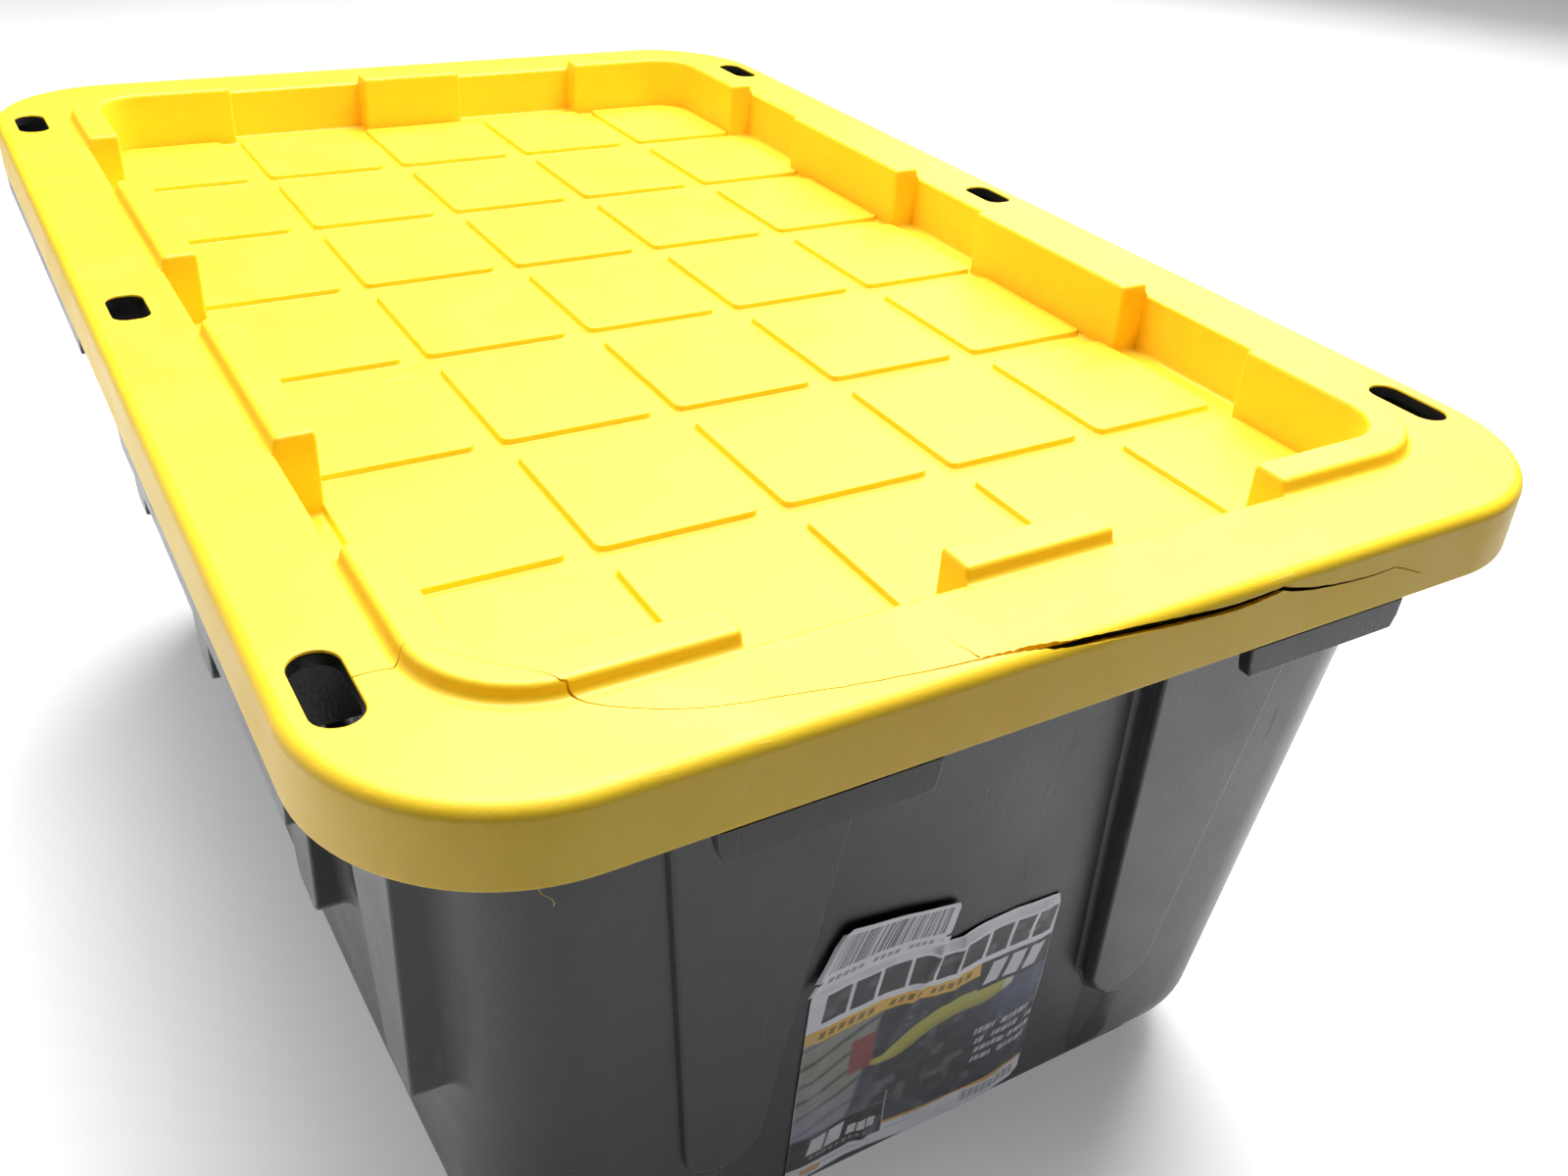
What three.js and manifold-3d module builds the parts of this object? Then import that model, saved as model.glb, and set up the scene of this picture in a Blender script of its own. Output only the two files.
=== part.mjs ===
// Stackable storage bin: a tapered tote tub with a ribbed rim, and a snap-on
// lid with a recessed tray, stacking ridges and padlock slots.
// Millimetres, +Z up, origin at the centre of the base on the floor plane.
// X runs across the narrow ends, Y along the long sides; the labelled narrow
// end faces -Y.
import * as THREE from 'three';
import Module from 'manifold-3d';

// ---------------------------------------------------------------- dimensions
const WIDTH = 516;              // overall, across the lid skirt (X)
const LENGTH = 782;             // overall, along the lid skirt (Y)
const HEIGHT = 368;             // overall, floor to the top of the ridges
const RIDGE_H = 6;              // ridge above the lid's flange
const FLANGE_Z = HEIGHT - RIDGE_H;
const SHEET = 3;                // lid's moulded wall thickness
const WALL = 2.5;               // tub's moulded wall thickness

// lid
const LID_R = 72;               // corner radius of the skirt
const LID_FILLET = 5.5;         // rounding of the lid's top edge
const SKIRT_DROP = 30;          // skirt below the flange
const BASIN_X = 216, BASIN_Y = 346.5, BASIN_R = 40;   // half sizes of the tray
const RIDGE_W = 16;             // ridge width, inside the tray's wall
const FLOOR_DROP = 29.4;        // channel floor below the flange
const TILE_H = 3;               // tiles above the channel floor
const TILE_PITCH_X = 82.7, TILE_PITCH_Y = 96.4;
const TILE_X = 70.7, TILE_Y = 82.6;
const TILE_COLS = 5, TILE_ROWS = 7;
const RIDGE_LONG = [40, 163];   // |y| span of a long-side ridge
const RIDGE_CORNER_Y = 246;     // |y| where a corner ridge starts
const RIDGE_CORNER_X = 119;     // |x| where a corner ridge ends
const RIDGE_MID_X = 33;         // half length of the narrow-end ridge
const SLOT_W = 16;              // padlock slots
const SLOT_CORNER = [239, 308, 38];
const SLOT_MIDDLE = [239, 0, 30];

// tub: half sizes at a depth d below the flange plane; the long walls belly
// out a little at mid height, the narrow ends are flat and evenly tapered
const PROFILE = [[-10, 227.8, 52], [3.3, 227.4, 52], [100, 225.5, 55], [190, 220.5, 60],
  [260, 213, 57], [320, 204.6, 51], [370, 198, 46]];   // depth, half width, corner radius
const along = (d, k) => {
  let i = 1;
  while (i < PROFILE.length - 1 && d > PROFILE[i][0]) i++;
  const [a, b] = [PROFILE[i - 1], PROFILE[i]];
  return a[k] + (b[k] - a[k]) * (d - a[0]) / (b[0] - a[0]);
};
const WALL_X = (d) => along(d, 1);
const WALL_R = (d) => along(d, 2);
const WALL_Y = (d) => 355.6 - 0.08 * d;
const RIM_TOP = 3.3;            // rim's top below the flange plane
const APRON_X = 254, APRON_Y = 387, APRON_R = 68;
const APRON_DROP = 28.5;
const TAB_OUT_X = 257.5, TAB_OUT_Y = 390.5;
const TAB_TOP = 30.5;
const BELLY_DROP = [[320, 0], [331, 2.5], [339, 7], [344, 12], [346, 15]];  // rounding under the walls: depth, inset
const FLOOR_RISE = 3;           // middle of the floor above the ground
const FOOT_X = 186, FOOT_Y = 312, FOOT_R = 33;
const PANEL_IN = 7;             // recess of the narrow end's centre panel
const END_PAD_OUT = 3.5;        // proud height of the narrow end's pads
const SIDE_PADS = [[-293, 227.5, 231], [-184, 232, 233.5], [0, 234, 235], [184, 232, 233.5],
  [293, 227.5, 231]];           // centre, face at its bottom, face at its top
const LABEL_GAP = 0.3, LABEL_T = 0.4;

// ------------------------------------------------------------------- helpers
const wasm = await Module();
wasm.setup();

function bufferGeometry(verts, tris) {
  let vol = 0;
  for (const [a, b, c] of tris) {
    const A = verts[a], B = verts[b], C = verts[c];
    vol += A[0] * (B[1] * C[2] - B[2] * C[1]) - A[1] * (B[0] * C[2] - B[2] * C[0])
         + A[2] * (B[0] * C[1] - B[1] * C[0]);
  }
  const g = new THREE.BufferGeometry();
  g.setAttribute('position', new THREE.Float32BufferAttribute(verts.flat(), 3));
  g.setIndex((vol < 0 ? tris.map(([a, b, c]) => [a, c, b]) : tris).flat());
  return g;
}

function solid(g) {
  return new wasm.Manifold(new wasm.Mesh({
    numProp: 3,
    vertProperties: new Float32Array(g.attributes.position.array),
    triVerts: new Uint32Array(g.index.array),
  }));
}

function geometry(man) {
  const m = man.getMesh();
  const g = new THREE.BufferGeometry();
  g.setAttribute('position', new THREE.Float32BufferAttribute(
    Array.from(m.vertProperties), 3));
  g.setIndex(Array.from(m.triVerts));
  return g;
}

const unite = (list) => list.reduce((a, b) => a.add(b));

// rounded rectangle outline, counter-clockwise, n segments in each corner
function outline(hx, hy, r, n = 6) {
  const pts = [];
  for (const [sx, sy, a0] of [[1, 1, 0], [-1, 1, 90], [-1, -1, 180], [1, -1, 270]]) {
    for (let i = 0; i <= n; i++) {
      const a = (a0 + 90 * i / n) * Math.PI / 180;
      pts.push([sx * (hx - r) + r * Math.cos(a), sy * (hy - r) + r * Math.sin(a)]);
    }
  }
  return pts;
}

// closed loft through rounded rectangles given as [height, hx, hy, r]
function loft(levels, n = 6) {
  const verts = [], tris = [];
  const rings = levels.map(([z, hx, hy, r]) => outline(hx, hy, r, n).map(([x, y]) => [x, y, z]));
  const m = rings[0].length;
  for (const ring of rings) verts.push(...ring);
  for (let k = 0; k + 1 < rings.length; k++) {
    for (let i = 0; i < m; i++) {
      const j = (i + 1) % m, a = k * m + i, b = k * m + j;
      tris.push([a, b, b + m], [a, b + m, a + m]);
    }
  }
  const cap = (base, flip) => {
    const flat = outline(1, 1, 0.4, n).map(([x, y]) => new THREE.Vector2(x, y));
    for (const [a, b, c] of THREE.ShapeUtils.triangulateShape(flat, [])) {
      tris.push(flip ? [base + a, base + c, base + b] : [base + a, base + b, base + c]);
    }
  };
  cap(0, true);
  cap((rings.length - 1) * m, false);
  return solid(bufferGeometry(verts, tris));
}

// block between two outlines with matching points, near and far from the
// middle of the object; place() turns (u, distance, z) into a point
function wallBlock(near, far, dNear, dFar, place) {
  const n = near.length, verts = [], tris = [];
  for (const [u, z] of near) verts.push(place(u, dNear(z), z));
  for (const [u, z] of far) verts.push(place(u, dFar(z), z));
  const flat = far.map(([u, z]) => new THREE.Vector2(u, z));
  for (const [a, b, c] of THREE.ShapeUtils.triangulateShape(flat, [])) {
    tris.push([n + a, n + b, n + c], [a, c, b]);
  }
  const ccw = THREE.ShapeUtils.area(flat) > 0;
  for (let i = 0; i < n; i++) {
    const j = (i + 1) % n;
    if (ccw) tris.push([i, j, n + j], [i, n + j, n + i]);
    else tris.push([j, i, n + i], [j, n + i, n + j]);
  }
  return bufferGeometry(verts, tris);
}

function box(x0, y0, z0, x1, y1, z1) {
  const g = new THREE.BoxGeometry(x1 - x0, y1 - y0, z1 - z0);
  g.translate((x0 + x1) / 2, (y0 + y1) / 2, (z0 + z1) / 2);
  const p = g.attributes.position, keys = new Map(), verts = [], map = [];
  for (let i = 0; i < p.count; i++) {
    const v = [p.getX(i), p.getY(i), p.getZ(i)], k = v.map((q) => q.toFixed(4)).join();
    if (!keys.has(k)) { keys.set(k, verts.length); verts.push(v); }
    map.push(keys.get(k));
  }
  const idx = Array.from(g.index.array), tris = [];
  for (let i = 0; i < idx.length; i += 3) tris.push([map[idx[i]], map[idx[i + 1]], map[idx[i + 2]]]);
  return solid(bufferGeometry(verts, tris));
}

const Z = (drop) => FLANGE_Z - drop;    // height of a depth below the flange
const onEnd = (s) => (u, d, z) => [u, s * d, z];
const onSide = (s) => (u, d, z) => [s * d, u, z];

// upright prism of a slot: rounded rectangle wx by ly at (x, y)
function slot(x, y, wx, ly, r, zLow, zHigh) {
  const m = loft([[zLow, wx / 2, ly / 2, r], [zHigh, wx / 2, ly / 2, r]], 4);
  return m.translate([x, y, 0]);
}

const slots = [];
for (const sx of [-1, 1]) {
  for (const sy of [-1, 1]) {
    slots.push([sx * SLOT_CORNER[0], sy * SLOT_CORNER[1], SLOT_W, SLOT_CORNER[2], SLOT_W / 2 - 0.01]);
  }
  slots.push([sx * SLOT_MIDDLE[0], 0, SLOT_W, SLOT_MIDDLE[2], 3.5]);
}

// ----------------------------------------------------------------------- tub
function buildTub() {
  const wallX = (z) => WALL_X(FLANGE_Z - z), wallY = (z) => WALL_Y(FLANGE_Z - z);

  // outer body: foot, rounding under the walls, walls
  const at = (d, inset) => [Z(d), WALL_X(d) - inset, WALL_Y(d) - inset, WALL_R(d) - inset];
  const belly = BELLY_DROP.slice().reverse();
  const lowest = belly[0][0];
  const walls = [260, 190, 100];
  let outer = loft([
    [0, FOOT_X - 4, FOOT_Y - 4, FOOT_R - 4],
    [3, FOOT_X - 1, FOOT_Y - 1, FOOT_R - 1],
    [Z(lowest), FOOT_X, FOOT_Y, FOOT_R],
    ...belly.map(([d, i], k) => { const q = at(k ? d : 320, i); q[0] = Z(d) + (k ? 0 : 0.01); return q; }),
    ...walls.map((d) => at(d, 0)), at(RIM_TOP, 0),
  ]);
  // cavity
  let inner = loft([
    [WALL, FOOT_X - 7, FOOT_Y - 7, FOOT_R - 7],
    [WALL + 3, FOOT_X - 4, FOOT_Y - 4, FOOT_R - 4],
    [Z(lowest) + WALL, FOOT_X - WALL, FOOT_Y - WALL, FOOT_R - WALL],
    ...belly.map(([d, i], k) => {
      const q = at(k ? d : 320, i + WALL); q[0] = Z(d) + (k ? WALL * (1 - k / 4) : WALL + 0.01); return q;
    }),
    ...walls.map((d) => at(d, WALL)), at(RIM_TOP - 6, WALL),
  ]);
  // raised middle of the floor
  inner = inner.subtract(loft([[0, 167, 292, 22], [WALL + FLOOR_RISE, 166, 291, 21]], 3));

  for (const s of [-1, 1]) {
    // recessed centre panel of a narrow end
    const panel = [[-67, Z(60)], [-91, Z(265)], [-99, Z(281)], [-104, Z(347)],
      [104, Z(347)], [99, Z(281)], [91, Z(265)], [67, Z(60)]];
    const panelOut = [[-68, Z(50)], [-93, Z(265)], [-112, Z(286)], [-140, Z(347)],
      [140, Z(347)], [112, Z(286)], [93, Z(265)], [68, Z(50)]];
    outer = outer.subtract(solid(wallBlock(panel, panelOut,
      (z) => wallY(z) - PANEL_IN, (z) => wallY(z) + 1, onEnd(s))));
    const liner = [[-69.5, Z(57)], [-93.5, Z(265)], [-101.5, Z(281)], [-106.5, Z(343)],
      [106.5, Z(343)], [101.5, Z(281)], [93.5, Z(265)], [69.5, Z(57)]];
    const linerOut = [[-70.5, Z(47)], [-95.5, Z(265)], [-114.5, Z(286)], [-142.5, Z(343)],
      [142.5, Z(343)], [114.5, Z(286)], [95.5, Z(265)], [70.5, Z(47)]];
    inner = inner.subtract(solid(wallBlock(liner, linerOut,
      (z) => wallY(z) - PANEL_IN - WALL, (z) => wallY(z) - WALL + 0.5, onEnd(s))));

    // two pads, wide at the top, on each narrow end
    for (const m of [-1, 1]) {
      const face = [[69.5, Z(52)], [147.5, Z(52)], [126.5, Z(264)], [123.5, Z(272)], [115, Z(277.5)],
        [101.5, Z(278.5)], [92, Z(266)]].map(([u, z]) => [m * u, z]);
      const root = [[68, Z(48)], [150, Z(48)], [128.5, Z(265.5)], [125, Z(274.5)], [116, Z(280)],
        [99.5, Z(281)], [90.5, Z(267)]].map(([u, z]) => [m * u, z]);
      outer = outer.add(solid(wallBlock(root, face,
        (z) => wallY(z) - WALL - 0.5, (z) => wallY(z) + END_PAD_OUT, onEnd(s))));
      const pit = [[74, Z(56)], [143.5, Z(56)], [123.5, Z(262)], [120, Z(269)], [114, Z(273.5)],
        [103.5, Z(274)], [95.5, Z(264)]].map(([u, z]) => [m * u, z]);
      inner = inner.add(solid(wallBlock(pit, pit,
        (z) => wallY(z) - WALL - 0.5, (z) => wallY(z) + END_PAD_OUT - WALL, onEnd(s))));
    }

    // five pads along each long side
    for (const [c, low, high] of SIDE_PADS) {
      const padX = (z) => low + (high - low) * (z - Z(198)) / 132;
      const back = (z) => WALL_X(260) - WALL - 2 + 0.09 * (z - Z(260));
      const face = [[c - 30.5, Z(54)], [c - 14, Z(194)], [c - 10.5, Z(198)], [c + 10.5, Z(198)], [c + 14, Z(194)], [c + 30.5, Z(54)]];
      const root = [[c - 34, Z(44)], [c - 17, Z(198)], [c - 12.5, Z(203)], [c + 12.5, Z(203)], [c + 17, Z(198)], [c + 34, Z(44)]];
      outer = outer.add(solid(wallBlock(root, face, back, padX, onSide(s))));
      const pit = [[c - 27, Z(58)], [c - 11, Z(191)], [c - 8.5, Z(194)], [c + 8.5, Z(194)], [c + 11, Z(191)], [c + 27, Z(58)]];
      inner = inner.add(solid(wallBlock(pit, pit, back, (z) => padX(z) - WALL, onSide(s))));
    }
  }

  // rim: flange, apron and the tabs that carry the lid's skirt
  let rim = loft([
    [Z(APRON_DROP), APRON_X, APRON_Y, APRON_R],
    [Z(RIM_TOP + 3.7), APRON_X, APRON_Y, APRON_R],
    [Z(RIM_TOP), APRON_X - 3.5, APRON_Y - 3.5, APRON_R - 3.5],
  ]);
  rim = rim.subtract(loft([
    [Z(APRON_DROP + 5), APRON_X - WALL, APRON_Y - WALL, APRON_R - WALL],
    [Z(RIM_TOP + WALL), APRON_X - WALL, APRON_Y - WALL, APRON_R - WALL],
  ]));
  const tabs = [];
  for (const s of [-1, 1]) {
    for (const m of [-1, 1]) {
      const end = [[68, Z(26)], [150, Z(26)], [147.5, Z(43.5)], [70.5, Z(43.5)]].map(([u, z]) => [m * u, z]);
      const side = [[50, Z(26)], [322, Z(26)], [320, Z(41.5)], [52, Z(41.5)]].map(([u, z]) => [m * u, z]);
      tabs.push(solid(wallBlock(end, end, () => APRON_Y - WALL, () => TAB_OUT_Y, onEnd(s))));
      tabs.push(solid(wallBlock(side, side, () => APRON_X - WALL, () => TAB_OUT_X, onSide(s))));
    }
  }
  // the tabs step out below the skirt; above that level only the apron is left
  let tab = unite(tabs).subtract(loft([
    [Z(TAB_TOP), 300, 430, 60], [Z(TAB_TOP) + 20, 300, 430, 60]], 1)
    .subtract(loft([[Z(TAB_TOP) - 1, APRON_X, APRON_Y, APRON_R],
      [Z(TAB_TOP) + 21, APRON_X, APRON_Y, APRON_R]])));
  rim = rim.add(tab);

  // gusset ribs between wall and apron
  const ribs = [];
  const ribT = 1.3;
  for (const s of [-1, 1]) {
    for (const y of [-334, -282, -228, -165, -96, -24, 24, 96, 165, 228, 282, 334]) {
      const drop = Math.abs(y) === 165 || Math.abs(y) === 96 || Math.abs(y) === 228 ? 27 : 36;
      const x0 = s * (WALL_X(20) - 4), x1 = s * (APRON_X - WALL + (Math.abs(y) > 300 ? -1 : 0.5));
      ribs.push(box(Math.min(x0, x1), y - ribT, Z(drop), Math.max(x0, x1), y + ribT, Z(RIM_TOP + 2)));
    }
    for (const x of [-150, -68, 68, 150]) {
      const y0 = s * (WALL_Y(20) - 4), y1 = s * (APRON_Y - WALL + 0.5);
      ribs.push(box(x - ribT, Math.min(y0, y1), Z(27), x + ribT, Math.max(y0, y1), Z(RIM_TOP + 2)));
    }
  }

  let tub = outer.add(rim).add(unite(ribs)).subtract(inner);
  // underside: the middle of the floor stands clear of the ground
  tub = tub.subtract(loft([[-5, 164.5, 289.5, 20], [FLOOR_RISE, 163.5, 288.5, 19]], 3));
  for (const [x, y, w, l, r] of slots) {
    tub = tub.subtract(slot(x, y, w, l, r, Z(APRON_DROP + 12), Z(-5)));
  }
  return tub;
}

// ----------------------------------------------------------------------- lid
function buildLid() {
  const hx = WIDTH / 2, hy = LENGTH / 2;
  const level = (drop, inset) => [Z(drop), hx - inset, hy - inset, LID_R - inset];
  let lid = loft([
    level(SKIRT_DROP, 0), level(LID_FILLET, 0.4),
    level(LID_FILLET * 0.5, 0.4 + LID_FILLET * 0.134),
    level(LID_FILLET * 0.134, 0.4 + LID_FILLET * 0.5),
    level(0, 0.4 + LID_FILLET)], 8);
  lid = lid.subtract(loft([level(SKIRT_DROP + 5, SHEET), level(6, SHEET), level(SHEET, 6)], 8));

  // tray: a block with walls SHEET thick, then its void
  const t = SHEET;
  lid = lid.add(loft([
    [Z(FLOOR_DROP + t), BASIN_X + t - 1.2, BASIN_Y + t - 1.2, BASIN_R + t],
    [Z(0.5), BASIN_X + t, BASIN_Y + t, BASIN_R + t]]));
  lid = lid.subtract(loft([
    [Z(FLOOR_DROP), BASIN_X - 1, BASIN_Y - 1, BASIN_R],
    [Z(-20), BASIN_X + 0.5, BASIN_Y + 0.5, BASIN_R]]));

  // segments that the stacking ridges follow; grow is a margin on their ends
  const spans = (grow, z0, z1) => {
    const list = [];
    const e = -grow;
    for (const sx of [-1, 1]) {
      for (const sy of [-1, 1]) {
        const bx = (a, b) => (sx > 0 ? [a, b] : [-b, -a]);
        const by = (a, b) => (sy > 0 ? [a, b] : [-b, -a]);
        let [xa, xb] = bx(120, 300), [ya, yb] = by(RIDGE_LONG[0] + e, RIDGE_LONG[1] - e);
        list.push(box(xa, ya, z0, xb, yb, z1));
        [xa, xb] = bx(RIDGE_CORNER_X + e, 300);
        [ya, yb] = by(RIDGE_CORNER_Y + e, 430);
        list.push(box(xa, ya, z0, xb, yb, z1));
      }
    }
    for (const sy of [-1, 1]) {
      const [ya, yb] = sy > 0 ? [280, 430] : [-430, -280];
      list.push(box(-RIDGE_MID_X - grow, ya, z0, RIDGE_MID_X + grow, yb, z1));
    }
    return unite(list);
  };
  const w = RIDGE_W;
  let ridge = loft([
    [Z(FLOOR_DROP + t), BASIN_X, BASIN_Y, BASIN_R],
    [Z(-RIDGE_H + 1.5), BASIN_X, BASIN_Y, BASIN_R],
    [Z(-RIDGE_H), BASIN_X - 1.5, BASIN_Y - 1.5, BASIN_R - 1.5]]);
  ridge = ridge.subtract(loft([
    [Z(FLOOR_DROP + t + 5), BASIN_X - w, BASIN_Y - w, BASIN_R - w],
    [Z(-RIDGE_H + 1.5), BASIN_X - w, BASIN_Y - w, BASIN_R - w],
    [Z(-RIDGE_H - 1.5), BASIN_X - w + 3, BASIN_Y - w + 3, BASIN_R - w + 3]]));
  ridge = ridge.intersect(spans(0, Z(FLOOR_DROP + t), Z(-RIDGE_H - 5)));
  lid = lid.add(ridge);

  // tiles of the tray's floor, and the pockets under them
  const tiles = [], pockets = [];
  for (let i = 0; i < TILE_COLS; i++) {
    for (let j = 0; j < TILE_ROWS; j++) {
      const cx = (i - (TILE_COLS - 1) / 2) * TILE_PITCH_X;
      const cy = (j - (TILE_ROWS - 1) / 2) * TILE_PITCH_Y;
      tiles.push(loft([
        [Z(FLOOR_DROP + 1), TILE_X / 2, TILE_Y / 2, 4],
        [Z(FLOOR_DROP - TILE_H), TILE_X / 2 - 0.8, TILE_Y / 2 - 0.8, 3.5]], 1)
        .translate([cx, cy, 0]));
      pockets.push(box(cx - TILE_X / 2 + t, cy - TILE_Y / 2 + t, Z(FLOOR_DROP + t + 2),
        cx + TILE_X / 2 - t, cy + TILE_Y / 2 - t, Z(FLOOR_DROP)));
    }
  }
  lid = lid.add(unite(tiles)).subtract(unite(pockets));

  // the ridges are hollow from below
  const under = (outX, outY, outR, top) => loft([
    [Z(FLOOR_DROP + t + 5), outX, outY, outR], [Z(top), outX, outY, outR]])
    .subtract(loft([[Z(FLOOR_DROP + t + 6), BASIN_X - w + t, BASIN_Y - w + t, BASIN_R - w + t],
      [Z(top) + 1, BASIN_X - w + t, BASIN_Y - w + t, BASIN_R - w + t]]));
  const hollow = under(BASIN_X + t + 1, BASIN_Y + t + 1, BASIN_R + t + 1, t)
    .add(under(BASIN_X - t, BASIN_Y - t, BASIN_R - t, -RIDGE_H + t));
  lid = lid.subtract(hollow.intersect(spans(-t, Z(60), Z(-20))));

  for (const [x, y, ww, l, r] of slots) lid = lid.subtract(slot(x, y, ww, l, r, Z(15), Z(-15)));
  return lid;
}

// -------------------------------------------------------------------- labels
// thin sheets on the recessed panel of the -Y end; off is the gap behind them
function sheet(points, off) {
  const d = (z) => WALL_Y(FLANGE_Z - z) - PANEL_IN + off;
  const poly = points.map(([x, drop]) => [x, Z(drop)]);
  return wallBlock(poly, poly, d, (z) => d(z) + LABEL_T, onEnd(-1));
}
const labelOutline = [[-69, 192], [-66, 336], [71, 338], [62, 199]];
const stickerOutline = [[-61, 160], [-72, 193], [-2, 196], [1, 173]];

// ------------------------------------------------------------------ assembly
function piece(name, g, color, roughness) {
  g.computeVertexNormals();
  const m = new THREE.Mesh(g, new THREE.MeshStandardMaterial({ color, roughness, metalness: 0 }));
  m.name = name;
  return m;
}

const bin = new THREE.Group();
const base = new THREE.Group();
base.add(piece('tub', geometry(buildTub()), 0x34363a, 0.5));
base.add(piece('product_label', sheet(labelOutline, LABEL_GAP), 0xf2efe6, 0.6));
base.add(piece('barcode_sticker', sheet(stickerOutline, 2 * LABEL_GAP + LABEL_T), 0xf7f7f5, 0.5));
bin.add(base);
bin.add(piece('lid', geometry(buildLid()), 0xf6c21c, 0.42));

export default bin;
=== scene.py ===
import math
import bpy
import bmesh
import numpy as np
from mathutils import Matrix, Vector

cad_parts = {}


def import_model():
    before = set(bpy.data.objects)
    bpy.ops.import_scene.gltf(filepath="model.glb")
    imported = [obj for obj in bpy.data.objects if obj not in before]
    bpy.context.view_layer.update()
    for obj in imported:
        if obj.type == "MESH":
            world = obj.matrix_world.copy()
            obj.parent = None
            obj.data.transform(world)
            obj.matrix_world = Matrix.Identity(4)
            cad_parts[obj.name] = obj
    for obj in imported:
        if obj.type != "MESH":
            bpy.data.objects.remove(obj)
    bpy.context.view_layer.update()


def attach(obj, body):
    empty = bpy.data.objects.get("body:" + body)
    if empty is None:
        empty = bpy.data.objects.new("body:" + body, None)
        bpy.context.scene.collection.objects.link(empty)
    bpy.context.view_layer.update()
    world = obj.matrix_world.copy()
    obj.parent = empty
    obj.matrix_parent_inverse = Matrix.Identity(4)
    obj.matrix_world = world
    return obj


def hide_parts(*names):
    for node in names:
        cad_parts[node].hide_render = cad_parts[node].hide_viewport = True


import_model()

RNG = np.random.RandomState(7)
scene = bpy.context.scene
scene.view_settings.view_transform = "Standard"
scene.view_settings.look = "None"
scene.view_settings.exposure = 0.0
scene.view_settings.gamma = 1.0

# ------------------------------------------------------------------ camera
cam_data = bpy.data.cameras.new("camera")
cam_data.lens = 33.42536
cam_data.sensor_width = 36.0
cam_data.shift_x = (800.0 - 802.9685) / 1600.0
cam_data.shift_y = (600.2953 - 600.0) / 1600.0
cam_data.clip_start, cam_data.clip_end = 0.02, 60.0
cam = bpy.data.objects.new("camera", cam_data)
scene.collection.objects.link(cam)
RIGHT = (0.86014638, -0.50622851, 0.06229690)
DOWN = (-0.22790002, -0.49072309, -0.84098301)
AHEAD = (0.45630011, 0.70917103, -0.53746318)
EYE = (-0.3104434, -0.6665378, 0.3620 + 0.2599285)
cam.matrix_world = Matrix((
    (RIGHT[0], -DOWN[0], -AHEAD[0], EYE[0]),
    (RIGHT[1], -DOWN[1], -AHEAD[1], EYE[1]),
    (RIGHT[2], -DOWN[2], -AHEAD[2], EYE[2]),
    (0, 0, 0, 1)))
scene.camera = cam

# -------------------------------------------------------------- dimensions
FZ = 362.0
SHEET, WALL = 3.0, 2.5
HX, HY, LID_R, LID_FIL = 258.0, 391.0, 72.0, 5.5
BX, BY, BR = 216.0, 346.5, 40.0
RW, RH, FLOOR_D, TILE_H = 16.0, 6.0, 29.4, 3.0
PX, PY, TX, TY = 82.7, 96.4, 70.7, 82.6
RIM_TOP, APRON_X, APRON_Y, APRON_R, APRON_D = 3.3, 254.0, 387.0, 68.0, 28.5
TAB_X, TAB_Y, TAB_TOP = 257.5, 390.5, 30.5
FOOT_X, FOOT_Y, FOOT_R = 186.0, 312.0, 33.0
PANEL_IN, PAD_OUT = 7.0, 3.5
SLOTS = [(sx * 239, sy * 308, 16, 38, 7.99) for sx in (-1, 1) for sy in (-1, 1)]
SLOTS[0] = (-239.5, -312.5, 16.5, 40, 8.24)     # the cracked corner's slot is pulled a little forward
SLOTS += [(sx * 239, 0, 16, 30, 6.2) for sx in (-1, 1)]


def Z(drop):
    return FZ - drop


# ----------------------------------------------------------------- helpers
def obj(name, verts, faces):
    me = bpy.data.meshes.new(name)
    me.from_pydata([tuple(map(float, v)) for v in verts], [], faces)
    bm = bmesh.new()
    bm.from_mesh(me)
    if bm.calc_volume(signed=True) < 0:
        bmesh.ops.reverse_faces(bm, faces=bm.faces)
    bm.to_mesh(me)
    bm.free()
    me.update()
    o = bpy.data.objects.new(name, me)
    scene.collection.objects.link(o)
    return o


def drop(o):
    me = o.data
    bpy.data.objects.remove(o)
    bpy.data.meshes.remove(me)


def bake(o):
    dg = bpy.context.evaluated_depsgraph_get()
    me = bpy.data.meshes.new_from_object(o.evaluated_get(dg))
    old = o.data
    o.modifiers.clear()
    o.data = me
    bpy.data.meshes.remove(old)
    return o


def volume(o):
    bm = bmesh.new()
    bm.from_mesh(o.data)
    v = bm.calc_volume(signed=True)
    bm.free()
    return v


def boolean(a, ops):
    """Applies [(op, operand object)] to a in order; the operands are removed."""
    for op, b in ops:
        before, vb = volume(a), volume(b)
        m = a.modifiers.new("b", "BOOLEAN")
        m.solver = "MANIFOLD"
        m.operation = op
        m.object = b
        bake(a)
        after = volume(a)
        print("boolean %s %s: %.0f with %.0f -> %.0f" % (op, b.name, before, vb, after))
        drop(b)
    return a


def merge(objs, name):
    """Several closed shells that don't touch, as one mesh."""
    bm = bmesh.new()
    for o in objs:
        bm.from_mesh(o.data)
        drop(o)
    me = bpy.data.meshes.new(name)
    bm.to_mesh(me)
    bm.free()
    o = bpy.data.objects.new(name, me)
    scene.collection.objects.link(o)
    return o


def bevel(o, width, segments=3, angle=28):
    m = o.modifiers.new("bevel", "BEVEL")
    m.width, m.segments, m.limit_method = width, segments, "ANGLE"
    m.angle_limit = math.radians(angle)
    m.use_clamp_overlap = True
    return bake(o)


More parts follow.
